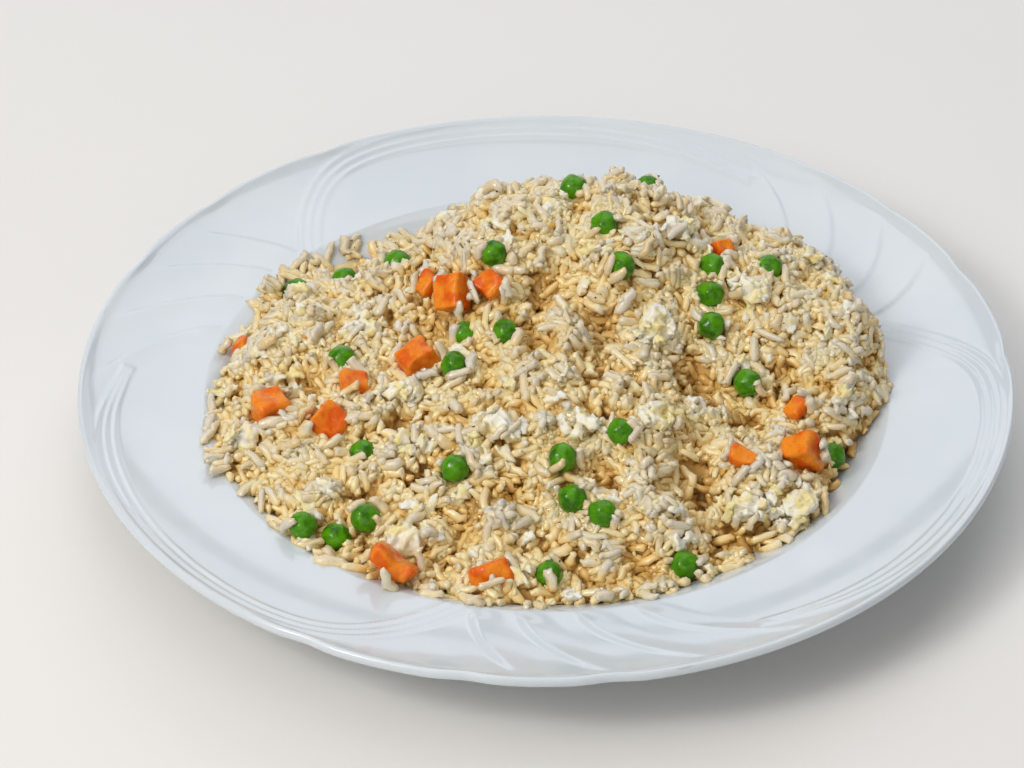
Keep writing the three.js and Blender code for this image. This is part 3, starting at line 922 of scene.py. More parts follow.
    def fill_gaps(self):
        """Lays single grains in the gaps that go deeper than a grain's width."""
        centre, radius, _, _ = self.balls()
        tops = self.plate.heights.copy()
        reach = self.radius.mean() * 0.8
        for dx, dy in ((0, 0), (1, 0), (-1, 0), (0, 1), (0, -1)):
            cell = (grid_index(centre[:, 0] + dx * reach), grid_index(centre[:, 1] + dy * reach))
            np.maximum.at(tops, cell, centre[:, 2])
        x, y = grid_places()
        gap = (self.roof.heights - blurred(tops, 0.8)) * self.normals[..., 2]
        deep = (gap > GAP_DEPTH) & (self.thick > 5)
        spots = np.nonzero(deep.ravel())[0]
        spots = self.draw.permutation(spots)[: len(spots) // 3]
        normal = self.normals.reshape(-1, 3)[spots]
        count = len(spots)
        place = np.stack([x.ravel()[spots], y.ravel()[spots], self.roof.heights.ravel()[spots]], 1)
        place = place - normal * self.draw.uniform(*GAP_GRAINS, count)[:, None]
        flat = np.cross(normal, self.draw.normal(size=(count, 3)))
        flat /= np.linalg.norm(flat, axis=1)[:, None]
        half_width = settings("rice_grain").grain_width / MM / 2
        self.join(GRAIN, place, flat, self.draw.uniform(5.5, 8.0, count), half_width)

    def depths(self):
        """How deep each body's middle lies under the roof, square to it."""
        drop = self.roof.at(self.place[:, 0], self.place[:, 1]) - self.place[:, 2]
        return drop * self.normal_at(self.place)[:, 2]


ROUNDS, QUICK_ROUNDS = 48, 12
_made = {}


def packing():
    """The packed bodies, worked out once."""
    if "packing" not in _made:
        made = Packing()
        made.relax(ROUNDS)
        made.fill_gaps()
        _made["packing"] = made
    return _made["packing"]


def heap_outline(angles):
    """Radius of the heap's outline at each angle, in millimetres."""
    covered = packing().covered
    reach = np.arange(50.0, 122.0, 0.25)
    x, y = np.cos(angles)[:, None] * reach, np.sin(angles)[:, None] * reach
    return np.max(np.where(covered.at(x, y) > 0.5, reach, 0), axis=1)


def oily_shaded_rice():
    """Rice deep in the heap, wet with oil: golden, with painted golden glow and brown shade in the
    joints between the grains.
    """
    values = settings("rice_grain")
    material, tree, shader = new_material("oiled_rice_core")
    place = object_place(tree)
    tone = ramp(tree, speckle(tree, place, 3.0, 3), [(0.3, values.cream), (0.7, values.golden)])
    fine = speckle(tree, place, 0.8, 2)
    # Painted shade: the core turns golden, then brown, by its depth under the heap's face.
    fill(tree, shader, Base_Color=oil_and_painted_gap_shade(tree, tone), IOR=1.45,
         Roughness=spread(tree, fine, 0.3, 0.7, 0.32, 0.5), Normal=bump(tree, fine, 0.12, 0.6),
         Subsurface_Weight=0.2, Subsurface_Radius=(1.0, 0.6, 0.3), Subsurface_Scale=0.0016)
    return material


def round_grid(side):
    """A square grid of side x side points bent into the unit disc, with its quads and its border."""
    line = np.linspace(-1, 1, side)
    x, y = (part.ravel() for part in np.meshgrid(line, line, indexing="ij"))
    wide = np.abs(x) > np.abs(y)
    reach = np.where(wide, x, y)
    share = np.divide(np.where(wide, y, x), reach, out=np.zeros_like(x), where=reach != 0)
    turn = np.where(wide, share * math.pi / 4, math.pi / 2 - share * math.pi / 4)
    quads = [(i * side + j, (i + 1) * side + j, (i + 1) * side + j + 1, i * side + j + 1)
             for i in range(side - 1) for j in range(side - 1)]
    last = side - 1
    border = ([i * side for i in range(last)] + [last * side + j for j in range(last)]
              + [i * side + last for i in range(last, 0, -1)] + list(range(last, 0, -1)))
    return reach * np.cos(turn), reach * np.sin(turn), quads, border


PRESSED_GRAINS, PRESSED_STEP = 9000, 0.5


def pressed_grains(step, count, seed):
    """Relief of grains that lie side by side: rounded ridges on a fine grid, in millimetres."""
    draw = np.random.default_rng(seed)
    values = settings("rice_grain")
    cells = int(2 * GRID_REACH / step)
    relief = np.full((cells, cells), -1.5)
    x, y = draw.uniform(-GRID_REACH, GRID_REACH, (2, count))
    turn = 3.4 * soft_noise(x, y, 15, 21) + draw.normal(0, 0.8, count)
    half = values.grain_length / MM / 2 * draw.uniform(0.6, 0.95, count)
    radius = values.grain_width / MM / 2 * draw.uniform(0.9, 1.15, count)
    lean = draw.normal(0, 0.16, count)
    level = draw.uniform(-0.5, 0.9, count)
    patch = np.arange(-int(5.5 / step), int(5.5 / step) + 1)
    for k in range(count):
        i = int((x[k] + GRID_REACH) / step) + patch
        j = int((y[k] + GRID_REACH) / step) + patch
        i, j = i[(i >= 0) & (i < cells)], j[(j >= 0) & (j < cells)]
        dx = (i * step - GRID_REACH - x[k])[:, None]
        dy = (j * step - GRID_REACH - y[k])[None]
        along = dx * math.cos(turn[k]) + dy * math.sin(turn[k])
        across = -dx * math.sin(turn[k]) + dy * math.cos(turn[k])
        past = np.maximum(np.abs(along) - half[k], 0)
        rest = radius[k] ** 2 - across**2 - past**2
        height = 1.3 * (np.sqrt(np.maximum(rest, 0)) - radius[k]) + level[k] + lean[k] * along
        spot = np.ix_(i, j)
        relief[spot] = np.where(rest > 0, np.maximum(relief[spot], height), relief[spot])
    return relief


class RICE_OT_core(bpy.types.Operator):
    """Builds the body of rice under the loose grains, its face a relief of grains"""

    bl_idname = "rice.core"
    bl_label = "Rice core"

    def execute(self, context):
        made = packing()
        relief = pressed_grains(PRESSED_STEP, PRESSED_GRAINS, 77)
        angles = np.linspace(-math.pi, math.pi, 721)
        edge = heap_outline(angles[:-1]) - CORE_INSET
        edge = np.mean([np.roll(edge, k) for k in range(-6, 7)], axis=0)
        ux, uy, quads, border = round_grid(CORE_ROWS)
        stretch = np.interp(np.arctan2(uy, ux), angles, np.append(edge, edge[0]))
        x, y = ux * stretch, uy * stretch
        under = made.plate.at(x, y) + CORE_LIFT + CORE_BASE
        steep = Field(np.hypot(*np.gradient(blurred(made.roof.heights, 2.0), GRID_STEP))).at(x, y)
        last = relief.shape[0] - 1
        bumps = relief[grid_index(x, PRESSED_STEP, last), grid_index(y, PRESSED_STEP, last)]
        top = np.maximum(made.roof.at(x, y) - CORE_SINK * np.hypot(1, steep) + bumps, under)
        for centre, half in made.toppings:
            near = out_from((centre, half), x, y, 1.5)
            floor = centre[2] - half[2] * np.sqrt(np.clip(1 - near**2, 0, 1)) - 0.6
            top = np.where(near < 1, np.minimum(top, np.maximum(floor, under)), top)
        points = [np.stack([x, y, top], 1)]
        faces = list(quads)
        count, sides = len(x), len(border)
        rings = [np.array(border)]
        for share in (1.0, 0.94, 0.88, 0.8, 0.5):
            bx, by = x[border] * share, y[border] * share
            points.append(np.stack([bx, by, made.plate.at(bx, by) + CORE_BASE], 1))
            rings.append(count + np.arange(sides))
            count += sides
        for outer, inner in zip(rings, rings[1:]):
            faces += [(int(outer[k]), int(inner[k]), int(inner[(k + 1) % sides]),
                       int(outer[(k + 1) % sides])) for k in range(sides)]
        points.append(np.array([[0, 0, WELL_FLOOR_HEIGHT + CORE_BASE]]))
        faces += [(int(rings[-1][k]), count, int(rings[-1][(k + 1) % sides])) for k in range(sides)]
        core = object_from("rice_core", np.vstack(points), faces, oily_shaded_rice())
        finished(core, ["rice_heap"])
        return {"FINISHED"}


# ---------------------------------------------------------------- scattered shapes


# Length, width and height in millimetres of a grain's shape before it is scaled, and the
# radius of a body that it fits.
GRAIN_SHAPE, GRAIN_SHAPE_RADIUS = (7.0, 2.6, 2.05), 1.25
CLUMP_SHAPE_LENGTH = 9.6
# Grains are drawn a little thicker than their bodies, so that they touch.
GRAIN_SWELL = 1.13
# Length and the two radii that stand for each crumb's shape.
SHRED_SHAPE, CURD_SHAPE, BIT_SHAPE = (3.6, 0.95, 1.1), (4.0, 1.2, 1.2), (4.0, 1.2, 1.2)


def scales(kind, shape):
    """Which bodies are of that kind, and what scales the shape to each."""
    made = packing()
    chosen = made.kind == kind
    long, wide, high = shape
    return chosen, np.stack([made.long / long, made.radius / wide, made.radius / high], 1)[chosen]


def scatter_tree():
    """Geometry Nodes that put a shape from a collection at each point and realise them.

    The points carry the direction of each shape's long axis, its size and which way is up.
    Which shape is taken, its roll and its tint are drawn from the seed."""
    tree = bpy.data.node_groups.get("scattered_shapes")
    if tree:
        return tree
    tree = bpy.data.node_groups.new("scattered_shapes", "GeometryNodeTree")
    for name, kind in (("Geometry", "Geometry"), ("Shapes", "Collection"), ("Count", "Int"),
                       ("Scale", "Float"), ("Roll", "Float"), ("Seed", "Int"),
                       ("Material", "Material")):
        tree.interface.new_socket(name, in_out="INPUT", socket_type="NodeSocket" + kind)
    tree.interface.new_socket("Geometry", in_out="OUTPUT", socket_type="NodeSocketGeometry")
    given = add(tree, "NodeGroupInput").outputs
    last = add(tree, "ShaderNodeMath", {0: given["Count"], 1: 1.0}, operation="SUBTRACT")
    second = add(tree, "ShaderNodeMath", {0: given["Seed"], 1: 1.0}, operation="ADD")
    third = add(tree, "ShaderNodeMath", {0: given["Seed"], 1: 2.0}, operation="ADD")
    pick = add(tree, "FunctionNodeRandomValue", data_type="INT")
    roll = add(tree, "FunctionNodeRandomValue", data_type="FLOAT")
    tint = add(tree, "FunctionNodeRandomValue", data_type="FLOAT")
    tree.links.new(last.outputs["Value"], pick.inputs[5])
    tree.links.new(given["Seed"], pick.inputs["Seed"])
    tree.links.new(given["Roll"], roll.inputs[3])
    tree.links.new(second.outputs["Value"], roll.inputs["Seed"])
    tree.links.new(third.outputs["Value"], tint.inputs["Seed"])
    points = add(tree, "GeometryNodeStoreNamedAttribute",
                 {"Geometry": given["Geometry"], "Name": "tint",
                  "Value": tint.outputs[1]}, data_type="FLOAT", domain="POINT")
    along = add(tree, "GeometryNodeInputNamedAttribute", {"Name": "along"},
                data_type="FLOAT_VECTOR").outputs["Attribute"]
    size = add(tree, "GeometryNodeInputNamedAttribute", {"Name": "size"},
               data_type="FLOAT_VECTOR").outputs["Attribute"]
    up = add(tree, "GeometryNodeInputNamedAttribute", {"Name": "up"},
             data_type="FLOAT_VECTOR").outputs["Attribute"]
    facing = add(tree, "FunctionNodeAlignRotationToVector", {"Vector": along}, axis="X")
    facing = add(tree, "FunctionNodeAlignRotationToVector",
                 {"Rotation": facing.outputs["Rotation"], "Vector": up}, axis="Z", pivot_axis="X")
    angles = add(tree, "ShaderNodeCombineXYZ", {"X": roll.outputs[1]})
    rolled = add(tree, "FunctionNodeEulerToRotation", {"Euler": angles.outputs["Vector"]})
    turned = add(tree, "FunctionNodeRotateRotation",
                 {"Rotation": facing.outputs["Rotation"], "Rotate By": rolled.outputs["Rotation"]},
                 rotation_space="LOCAL")
    scaled = add(tree, "ShaderNodeVectorMath", {0: size, "Scale": given["Scale"]},
                 operation="SCALE")
    shapes = add(tree, "GeometryNodeCollectionInfo",
                 {"Collection": given["Shapes"], "Separate Children": True,
                  "Reset Children": True})
    placed = add(tree, "GeometryNodeInstanceOnPoints",
                 {"Points": points.outputs["Geometry"], "Instance": shapes.outputs["Instances"],
                  "Pick Instance": True, "Instance Index": pick.outputs[2],
                  "Rotation": turned.outputs["Rotation"], "Scale": scaled.outputs["Vector"]})
    real = add(tree, "GeometryNodeRealizeInstances", {"Geometry": placed.outputs["Instances"]})
    painted = add(tree, "GeometryNodeSetMaterial",
                  {"Geometry": real.outputs["Geometry"], "Material": given["Material"]})
    add(tree, "NodeGroupOutput", {"Geometry": painted.outputs["Geometry"]})
    return tree


# Depth under the heap's face at which the painted shade on the rice is darkest, in millimetres, and
# how much a grain's side (painted golden glow, as if light came through it) and a valley of the heap
# (painted shade) add to it.
DEPTH_RANGE, SIDE_GLOW_SHARE, VALLEY_SHADE_SHARE = 6, 0.17, 0.46


def outer_face(pieces):
    """The heap's face as it lies after packing, and how far each place is down in a valley.

    The face is smoothed over the tops of the pieces; valleys run from 0 to 1 at 8 mm."""
    made = packing()
    tops = made.plate.heights.copy()
    for piece in pieces:
        places = np.empty(len(piece.data.vertices) * 3)
        piece.data.vertices.foreach_get("co", places)
        x, y, z = places.reshape(-1, 3).T / MM
        np.maximum.at(tops, (grid_index(x), grid_index(y)), z)
    face = blurred(closed_over(tops, 3), 2.2)
    ridges = blurred(closed_over(tops, 9), 4)
    return Field(face), Field(np.clip((ridges - face) / 8, 0, 1))


def shade_by_depth(mesh, face, valleys):
    """Stores on each point how much painted glow and shade it gets: how far it lies under the heap's
    outer face, from 0 to 1 at 6 mm.

    Sides count as deeper than tops, so they are painted golden as if light came through them from
    the oily rice, and places down in a valley of the heap count deeper still, as painted shade."""
    places, normals = np.empty(len(mesh.vertices) * 3), np.empty(len(mesh.vertices) * 3)
    mesh.vertices.foreach_get("co", places)
    mesh.vertex_normals.foreach_get("vector", normals)
    places = places.reshape(-1, 3) / MM
    x, y, z = places.T
    side = 1 - np.clip(np.sum(normals.reshape(-1, 3) * packing().normal_at(places), 1), 0, 1)
    deep = (face.at(x, y) - z) / DEPTH_RANGE + SIDE_GLOW_SHARE * side + VALLEY_SHADE_SHARE * valleys.at(x, y)
    layer = mesh.attributes.get("depth") or mesh.attributes.new("depth", "FLOAT", "POINT")
    layer.data.foreach_set("value", np.clip(deep, 0, 1).astype(np.float32))


def scattered(name, shapes, place, along, size, material, seed, roll=2 * math.pi):
    """One plain mesh with a shape at every place; shapes are (points, faces) in millimetres."""
    store = bpy.data.collections.new(name + "_shapes")
    for index, (points, faces) in enumerate(shapes):
        shape = object_from(f"{name}_shape_{index:02d}", points, faces, material)
        bpy.context.scene.collection.objects.unlink(shape)
        store.objects.link(shape)
    cloud = bpy.data.meshes.new(name)
    cloud.from_pydata((np.asarray(place) * MM).tolist(), [], [])
    up = packing().normal_at(np.asarray(place))
    for label, values in (("along", along), ("size", size), ("up", up)):
        layer = cloud.attributes.new(label, "FLOAT_VECTOR", "POINT")
        layer.data.foreach_set("vector", np.asarray(values, np.float32).ravel())
    piece = bpy.data.objects.new(name, cloud)
    bpy.context.scene.collection.objects.link(piece)
    tree = scatter_tree()
    modifier = piece.modifiers.new("scatter", "NODES")
    modifier.node_group = tree
    given = {"Shapes": store, "Count": len(shapes), "Scale": 1.0, "Roll": roll, "Seed": seed,
             "Material": material}
    for socket in tree.interface.items_tree:
        if socket.in_out == "INPUT" and socket.name in given:
            modifier[socket.identifier] = given[socket.name]
    graph = bpy.context.evaluated_depsgraph_get()
    mesh = bpy.data.meshes.new_from_object(piece.evaluated_get(graph),
                                           preserve_all_data_layers=True, depsgraph=graph)
    piece.modifiers.remove(modifier)
    piece.data = mesh
    mesh.name = name
    for label in ("along", "size", "up"):
        if label in mesh.attributes:
            mesh.attributes.remove(mesh.attributes[label])
    mesh.shade_smooth()
    for shape in list(store.objects):
        bpy.data.objects.remove(shape)
    bpy.data.collections.remove(store)
    return piece


# Share of the shell's depth below which grains are buried in the core's relief.
HIDDEN_FROM = 0.84


def grain_shape(seed, bend, twist, broken):
    """A cooked grain along X, 7 mm long: a bent, uneven rod of six sides with blunt ends."""
    draw = np.random.default_rng(seed)
    long, wide, thick = GRAIN_SHAPE
    stations = np.array([-0.95, -0.74, -0.28, 0.25, 0.70, 0.94])
    girths = np.array([0.60, 0.88, 1.0, 1.04, 0.97, 0.70])
    if broken:
        girths[4:] = 1.06, 0.9
    girths = girths * draw.uniform(0.86, 1.10, 6)
    sway = draw.normal(0, 0.24, (6, 2))
    facets = draw.uniform(0.80, 1.14, 6)
    points = [(-long / 2 * 1.01, 0.0, 0.0)]
    for u, girth, (off_y, off_z) in zip(stations, girths, sway):
        cy, cz = bend * (0.6 - u * u) + off_y, off_z
        for i in range(6):
            turn = 2 * math.pi * (i + 0.5) / 6 + twist * u
            reach = girth * facets[i] * draw.uniform(0.88, 1.10)
            oblique = 0.34 if abs(u) > 0.9 else 0.16
            points.append((u * long / 2 + draw.normal(0, oblique),
                           cy + reach * wide / 2 * math.cos(turn),
                           cz + reach * thick / 2 * math.sin(turn)))
    points.append((long / 2 * (0.98 if broken else 1.02), 0.0, 0.0))
    return points, revolved_faces(6, 6)


def grain_shapes():
    """Twelve ways that a cooked grain sets."""
    draw = np.random.default_rng(12)
    return [grain_shape(300 + k, draw.normal(0, 0.45), draw.normal(0, 0.4), k % 4 == 3)
            for k in range(12)]


def clump_shape(seed):
    """Grains stuck together side by side, about 10 by 8 by 4 mm, flat side down."""
    draw = np.random.default_rng(900 + seed)
    forms = grain_shapes()
    points, faces = [], []
    count = int(draw.integers(5, 8))
    for k in range(count):
        grain, sides = forms[draw.integers(len(forms))]
        top = k >= count - 2
        turn = Matrix.Rotation(draw.normal(0, 0.7 if top else 0.3), 3, "Z") @ Matrix.Rotation(
            draw.normal(0, 0.16), 3, "Y") @ Matrix.Rotation(draw.uniform(0, 6.28), 3, "X")
        across = (k - (count - 3) / 2) * 2.35 if not top else draw.uniform(-2.4, 2.4)
        shift = Vector((draw.uniform(-1.9, 1.9), across + draw.normal(0, 0.25),
                        draw.normal(0.2, 0.3) + (1.5 if top else -0.25 * across**2 / 6)))
        girth = draw.uniform(1.18, 1.45)
        start = len(points)
        points += [tuple(turn @ Vector((p[0] * 1.10, p[1] * girth, p[2] * girth)) + shift)
                   for p in grain]
        faces += [tuple(start + i for i in face) for face in sides]
    return points, faces


def curd_shape(seed, flakes):
    """A torn curd of egg, about 4 by 2.4 mm: thin flakes that run into each other."""
    draw = np.random.default_rng(700 + seed)
    points, faces = [], []
    for k in range(flakes):
        disc = bmesh.new()
        bmesh.ops.create_icosphere(disc, subdivisions=3, radius=1.0)
        turn = Matrix.Rotation(draw.normal(0, 0.7), 3, "X") @ Matrix.Rotation(
            draw.normal(0, 0.5), 3, "Y") @ Matrix.Rotation(draw.uniform(0, 6.28), 3, "Z")
        middle = Vector((2.2 * (k + 0.5) / flakes - 1.1 + draw.normal(0, 0.2),
                         draw.normal(0, 0.38), draw.normal(0, 0.22)))
        wide, slim = draw.uniform(0.75, 1.15), draw.uniform(0.55, 0.85)
        start = len(points)
        for vertex in disc.verts:
            n = vertex.co
            torn = 1 + 0.75 * noise.noise(Vector((n.x * 2.2, n.y * 2.2, seed + k * 3.1)))
            curl = 0.35 * noise.noise(Vector((n.x * 1.5 + seed, n.y * 1.5, k * 2.7)))
            points.append(tuple(turn @ Vector((n.x * wide * torn, n.y * slim * torn,
                                               n.z * 0.36 + curl)) + middle))
        faces += [tuple(start + v.index for v in f.verts) for f in disc.faces]
        disc.free()
    curd = object_from("curd", points, faces)
    applied(curd, REMESH={"mode": "VOXEL", "voxel_size": 0.00011},
            SMOOTH={"iterations": 3, "factor": 0.5}, DECIMATE={"ratio": 0.072})
    made = [tuple(v.co / MM) for v in curd.data.vertices]
    sides = [tuple(p.vertices) for p in curd.data.polygons]
    bpy.data.objects.remove(curd)
    return made, sides


def crumb_shape(seed, flat, ragged):
    """A crumb about 4 by 2.4 mm with a torn edge."""
    ball = bmesh.new()
    bmesh.ops.create_icosphere(ball, subdivisions=2, radius=1.0)
    for vertex in ball.verts:
        n = vertex.co.normalized()
        bumps = noise.noise(n * 1.9 + Vector((seed * 3.7, 0, 0)))
        ridge = 0.5 - abs(noise.noise(n * 3.3 + Vector((0, seed * 5.1, 0))))
        rim = 1 - n.z * n.z
        vertex.co = n * (1 + ragged * rim * (1.1 * bumps + ridge - 0.2))
        wave = noise.noise(Vector((n.x * 1.8, n.y * 1.8, seed * 1.3)))
        vertex.co.x *= 2.0
        vertex.co.y *= 1.2
        vertex.co.z = 1.2 * flat * vertex.co.z + 0.9 * ragged * wave
    bmesh.ops.recalc_face_normals(ball, faces=ball.faces)
    points = [tuple(v.co) for v in ball.verts]
    faces = [tuple(v.index for v in f.verts) for f in ball.faces]
    ball.free()
    return points, faces


def oil_and_painted_gap_shade(tree, base, reach=1.0):
    """Paints glow and shade into a colour, on top of the oil's own tone: golden, then amber, then
    brown as it goes deeper between the grains.
    """
    values = settings("rice_grain")
    depth = add(tree, "ShaderNodeAttribute", attribute_name="depth").outputs["Fac"]
    # Painted glow and shade: golden sides stand for light passing through the grains, amber for
    # light bouncing between them, brown for painted shade deep in the gaps.
    base = mix(tree, spread(tree, depth, 0.10 * reach, 0.42 * reach, 0.0, 0.85), base,
               values.oiled)
    base = mix(tree, spread(tree, depth, 0.36 * reach, 0.74 * reach, 0.0, 0.9), base,
               values.crevice)
    return mix(tree, spread(tree, depth, 0.65 * reach, 1.0, 0.0, 0.85), base, values.gap)


def cooked_rice(name, tone, rim_tone, seed):
    """Cooked long-grain rice: translucent, starchy, with a thin film of oil.

    The eye sees a soft creamy body that lets light through at the ends, whiter chalky
    flecks inside, golden oil where grains touch with painted golden glow and brown shade
    laid on by depth between them, and small wet highlights."""
    values = settings("rice_grain")
    material, tree, shader = new_material(name)
    place = object_place(tree)
    tint = add(tree, "ShaderNodeAttribute", attribute_name="tint").outputs["Fac"]
    base = mix(tree, spread(tree, tint, 0.0, 1.0), tone, rim_tone)
    chalk = spread(tree, speckle(tree, place, 2.4, 1), 0.48, 0.68, 0.0, 0.5)
    base = mix(tree, chalk, base, linear("#DDD9CE"))
    oil = spread(tree, speckle(tree, place, 13 + seed, 0), 0.46, 0.68, 0.0, 0.35)
    # Painted glow and shade: the grain's colour turns golden, then brown, by its depth, side and
    # valley.
    base = oil_and_painted_gap_shade(tree, mix(tree, oil, base, values.golden))
    fine = speckle(tree, place, 0.8, 1)
    gloss = spread(tree, fine, 0.3, 0.7, 0.22, 0.42)
    normal = bump(tree, fine, 0.18, 0.6)
    fill(tree, shader, Base_Color=base, Roughness=gloss, IOR=1.42, Normal=normal,
         Subsurface_Weight=0.42, Subsurface_Radius=(1.0, 0.93, 0.82), Subsurface_Scale=0.0014,
         Coat_Weight=0.6, Coat_Roughness=0.08)
    return material


class RICE_OT_grains(bpy.types.Operator):
    """Lays the loose grains over the core, close packed"""

    bl_idname = "rice.grains"
    bl_label = "Grains"

    def execute(self, context):
        values = settings("rice_grain")
        made = packing()
        draw = np.random.default_rng(values.seed + 100)
        depth = made.depths()
        shown = (made.kind == GRAIN) & (depth < made.depth * HIDDEN_FROM)
        girth = made.radius[:, None] / GRAIN_SHAPE_RADIUS
        girth = girth * draw.uniform(0.88, 1.16, (len(depth), 2))
        size = np.column_stack([made.long / GRAIN_SHAPE[0], girth * GRAIN_SWELL])
        mixed = draw.uniform(0, 1, len(depth)) + 0.03 * depth
        group = np.digitize(mixed, (0.42, 0.66, 0.87))
        tones = (("pale", values.pale, values.cream), ("golden", values.golden, values.cream),
                 ("ivory", values.ivory, linear("#DDD2B9")),
                 ("cream", values.cream, linear("#DDD2B9")))
        pieces, materials = [bpy.data.objects["rice_core"]], []
        for index, (name, tone, other) in enumerate(tones):
            chosen = shown & (group == index)
            materials.append(cooked_rice("cooked_rice_" + name, tone, other, index * 3))
            pieces.append(scattered("rice_grains_" + name, grain_shapes(), made.place[chosen],
                                    made.along[chosen], size[chosen], materials[index],
                                    values.seed + index))
        chosen = np.nonzero(made.kind == CLUMP)[0]
        for index, part in enumerate((chosen[::2], chosen[1::2])):
            size = np.repeat((made.long[part] / CLUMP_SHAPE_LENGTH)[:, None], 3, 1)
            pieces.append(scattered(f"rice_clumps_{index + 1}",
                                    [clump_shape(k + 12 * index) for k in range(12)],
                                    made.place[part], made.along[part], size,
                                    materials[3 * index],
                                    values.seed + 9 + index, roll=0.6))
        made.face, made.valleys = outer_face(pieces)
        for piece in pieces:
            shade_by_depth(piece.data, made.face, made.valleys)
        for piece in pieces[1:]:
            finished(piece, ["rice_heap"])
        return {"FINISHED"}


# ---------------------------------------------------------------- peas


def pea_shape(seed):
    """A cooked pea 1 mm in radius: round, a little flattened, with a seam and shallow dents."""
    wrinkle = settings("rice_pea").wrinkle / settings("rice_pea").radius
    ball = bmesh.new()
    bmesh.ops.create_icosphere(ball, subdivisions=4, radius=1.0)
    for vertex in ball.verts:
        n = vertex.co.normalized()
        dents = noise.noise(n * 1.4 + Vector((seed * 2.3, 1.7, 0)))
        fine = noise.noise(n * 4.4 + Vector((0, seed * 4.1, 2.0)))
        navel = math.exp(-(((n - Vector((0.3, 0.2, 0.93)).normalized()).length / 0.16) ** 2))
        vertex.co = n * (1 + wrinkle * (1.6 * dents + 0.45 * fine) - 0.06 * navel)
        vertex.co.z *= 0.97
    points = [tuple(v.co) for v in ball.verts]
    faces = [tuple(v.index for v in f.verts) for f in ball.faces]
    ball.free()
    return points, faces


def pea_skin():
    """Cooked garden pea: tight waxy skin, bright green, translucent at the edge, wet gloss."""
    values = settings("rice_pea")
    material, tree, shader = new_material("pea_skin")
    place = object_place(tree)
    tint = add(tree, "ShaderNodeAttribute", attribute_name="tint").outputs["Fac"]
    mottle = speckle(tree, place, 3.5, 3)
    base = mix(tree, spread(tree, mottle, 0.35, 0.7), values.skin, values.shade)
    base = mix(tree, spread(tree, tint, 0.0, 1.0, 0.0, 0.45), base, linear("#4A8C08"))
    pores = speckle(tree, place, 0.35, 2)
    base = mix(tree, spread(tree, pores, 0.55, 0.75, 0.0, 0.30), base, linear("#86BE3C"))
    rough = spread(tree, speckle(tree, place, 1.6, 2), 0.3, 0.7, 0.16, 0.28)
    fill(tree, shader, Base_Color=base, Roughness=rough, IOR=1.45,
         Normal=bump(tree, pores, 0.05, 0.5), Subsurface_Weight=0.15,
         Subsurface_Radius=(0.45, 1.0, 0.10), Subsurface_Scale=0.0010, Coat_Weight=0.5,
         Coat_Roughness=0.06, Specular_IOR_Level=0.05)
    return material


class RICE_OT_peas(bpy.types.Operator):
    """Builds the peas"""

    bl_idname = "rice.peas"
    bl_label = "Peas"

    def execute(self, context):
        nodes = nodes_of("pea")
        draw = np.random.default_rng(31)
        places, sizes = zip(*(middle_and_half(n) for n in nodes))
        sizes = np.array(sizes)
        radius = np.cbrt(sizes.prod(1))
        along = draw.normal(size=(len(nodes), 3))
        along /= np.linalg.norm(along, axis=1)[:, None]
        size = np.repeat(radius[:, None], 3, 1) * draw.uniform(0.97, 1.03, (len(nodes), 3))
        peas = scattered("peas", [pea_shape(k) for k in range(5)], np.array(places), along, size,
                         pea_skin(), 5)
        finished(peas, nodes)
        return {"FINISHED"}


# ---------------------------------------------------------------- carrot and egg


def node_copy(name, nodes):
    """One object with the merged meshes of CAD nodes."""
    whole = bmesh.new()
    for node in nodes:
        whole.from_mesh(frame["nodes"][node].data)
    bmesh.ops.remove_doubles(whole, verts=whole.verts, dist=1e-6)
    mesh = bpy.data.meshes.new(name)
    whole.to_mesh(mesh)
    whole.free()
    piece = bpy.data.objects.new(name, mesh)
    bpy.context.scene.collection.objects.link(piece)
    return piece


def applied(piece, **modifiers):
    """Applies modifiers, given as kind=settings, in order."""
    for kind, values in modifiers.items():
        modifier = piece.modifiers.new(kind, kind)
        for name, value in values.items():
            setattr(modifier, name, value)
    graph = bpy.context.evaluated_depsgraph_get()
    mesh = bpy.data.meshes.new_from_object(piece.evaluated_get(graph))
    piece.modifiers.clear()
    piece.data = mesh
    mesh.name = piece.name
    return piece


def moved_by(piece, shift):
    """Moves each vertex along its normal by shift(point in mm, normal), in millimetres."""
    mesh = piece.data
    normals = [v.normal.copy() for v in mesh.vertices]
    for vertex, normal in zip(mesh.vertices, normals):
        vertex.co += normal * shift(vertex.co / MM, normal) * MM
    mesh.update()
    return piece


# The cuts of the carrot stray from square over this many millimetres.
UNEVEN_OVER = 7.5


def carrot_flesh():
    """Boiled carrot: deep orange flesh, paler towards the core, with cut fibres and wet gloss."""
    values = settings("rice_carrot")
    material, tree, shader = new_material("carrot_flesh")
    place = object_place(tree)
    fibres = add(tree, "ShaderNodeMapping", {"Vector": place, "Rotation": (0.5, 0.3, 0.9),
                                             "Scale": (1.0, 1.0, 0.25)}).outputs["Vector"]
    grain = speckle(tree, fibres, 0.8, 3)
    patches = speckle(tree, place, 6, 2)
    base = mix(tree, spread(tree, patches, 0.35, 0.62, 0.0, 0.85), values.flesh, values.core)
    base = mix(tree, spread(tree, grain, 0.5, 0.72, 0.0, 0.35), base, linear("#C63C06"))
    rough = spread(tree, speckle(tree, place, 2, 2), 0.3, 0.7, 0.22, 0.42)
    fill(tree, shader, Base_Color=base, Roughness=rough, IOR=1.44,
         Normal=bump(tree, grain, 0.12, 0.5), Subsurface_Weight=0.3,
         Subsurface_Radius=(1.0, 0.35, 0.08), Subsurface_Scale=0.002, Coat_Weight=0.12,
         Coat_Roughness=0.08, Specular_IOR_Level=0.2)
    return material


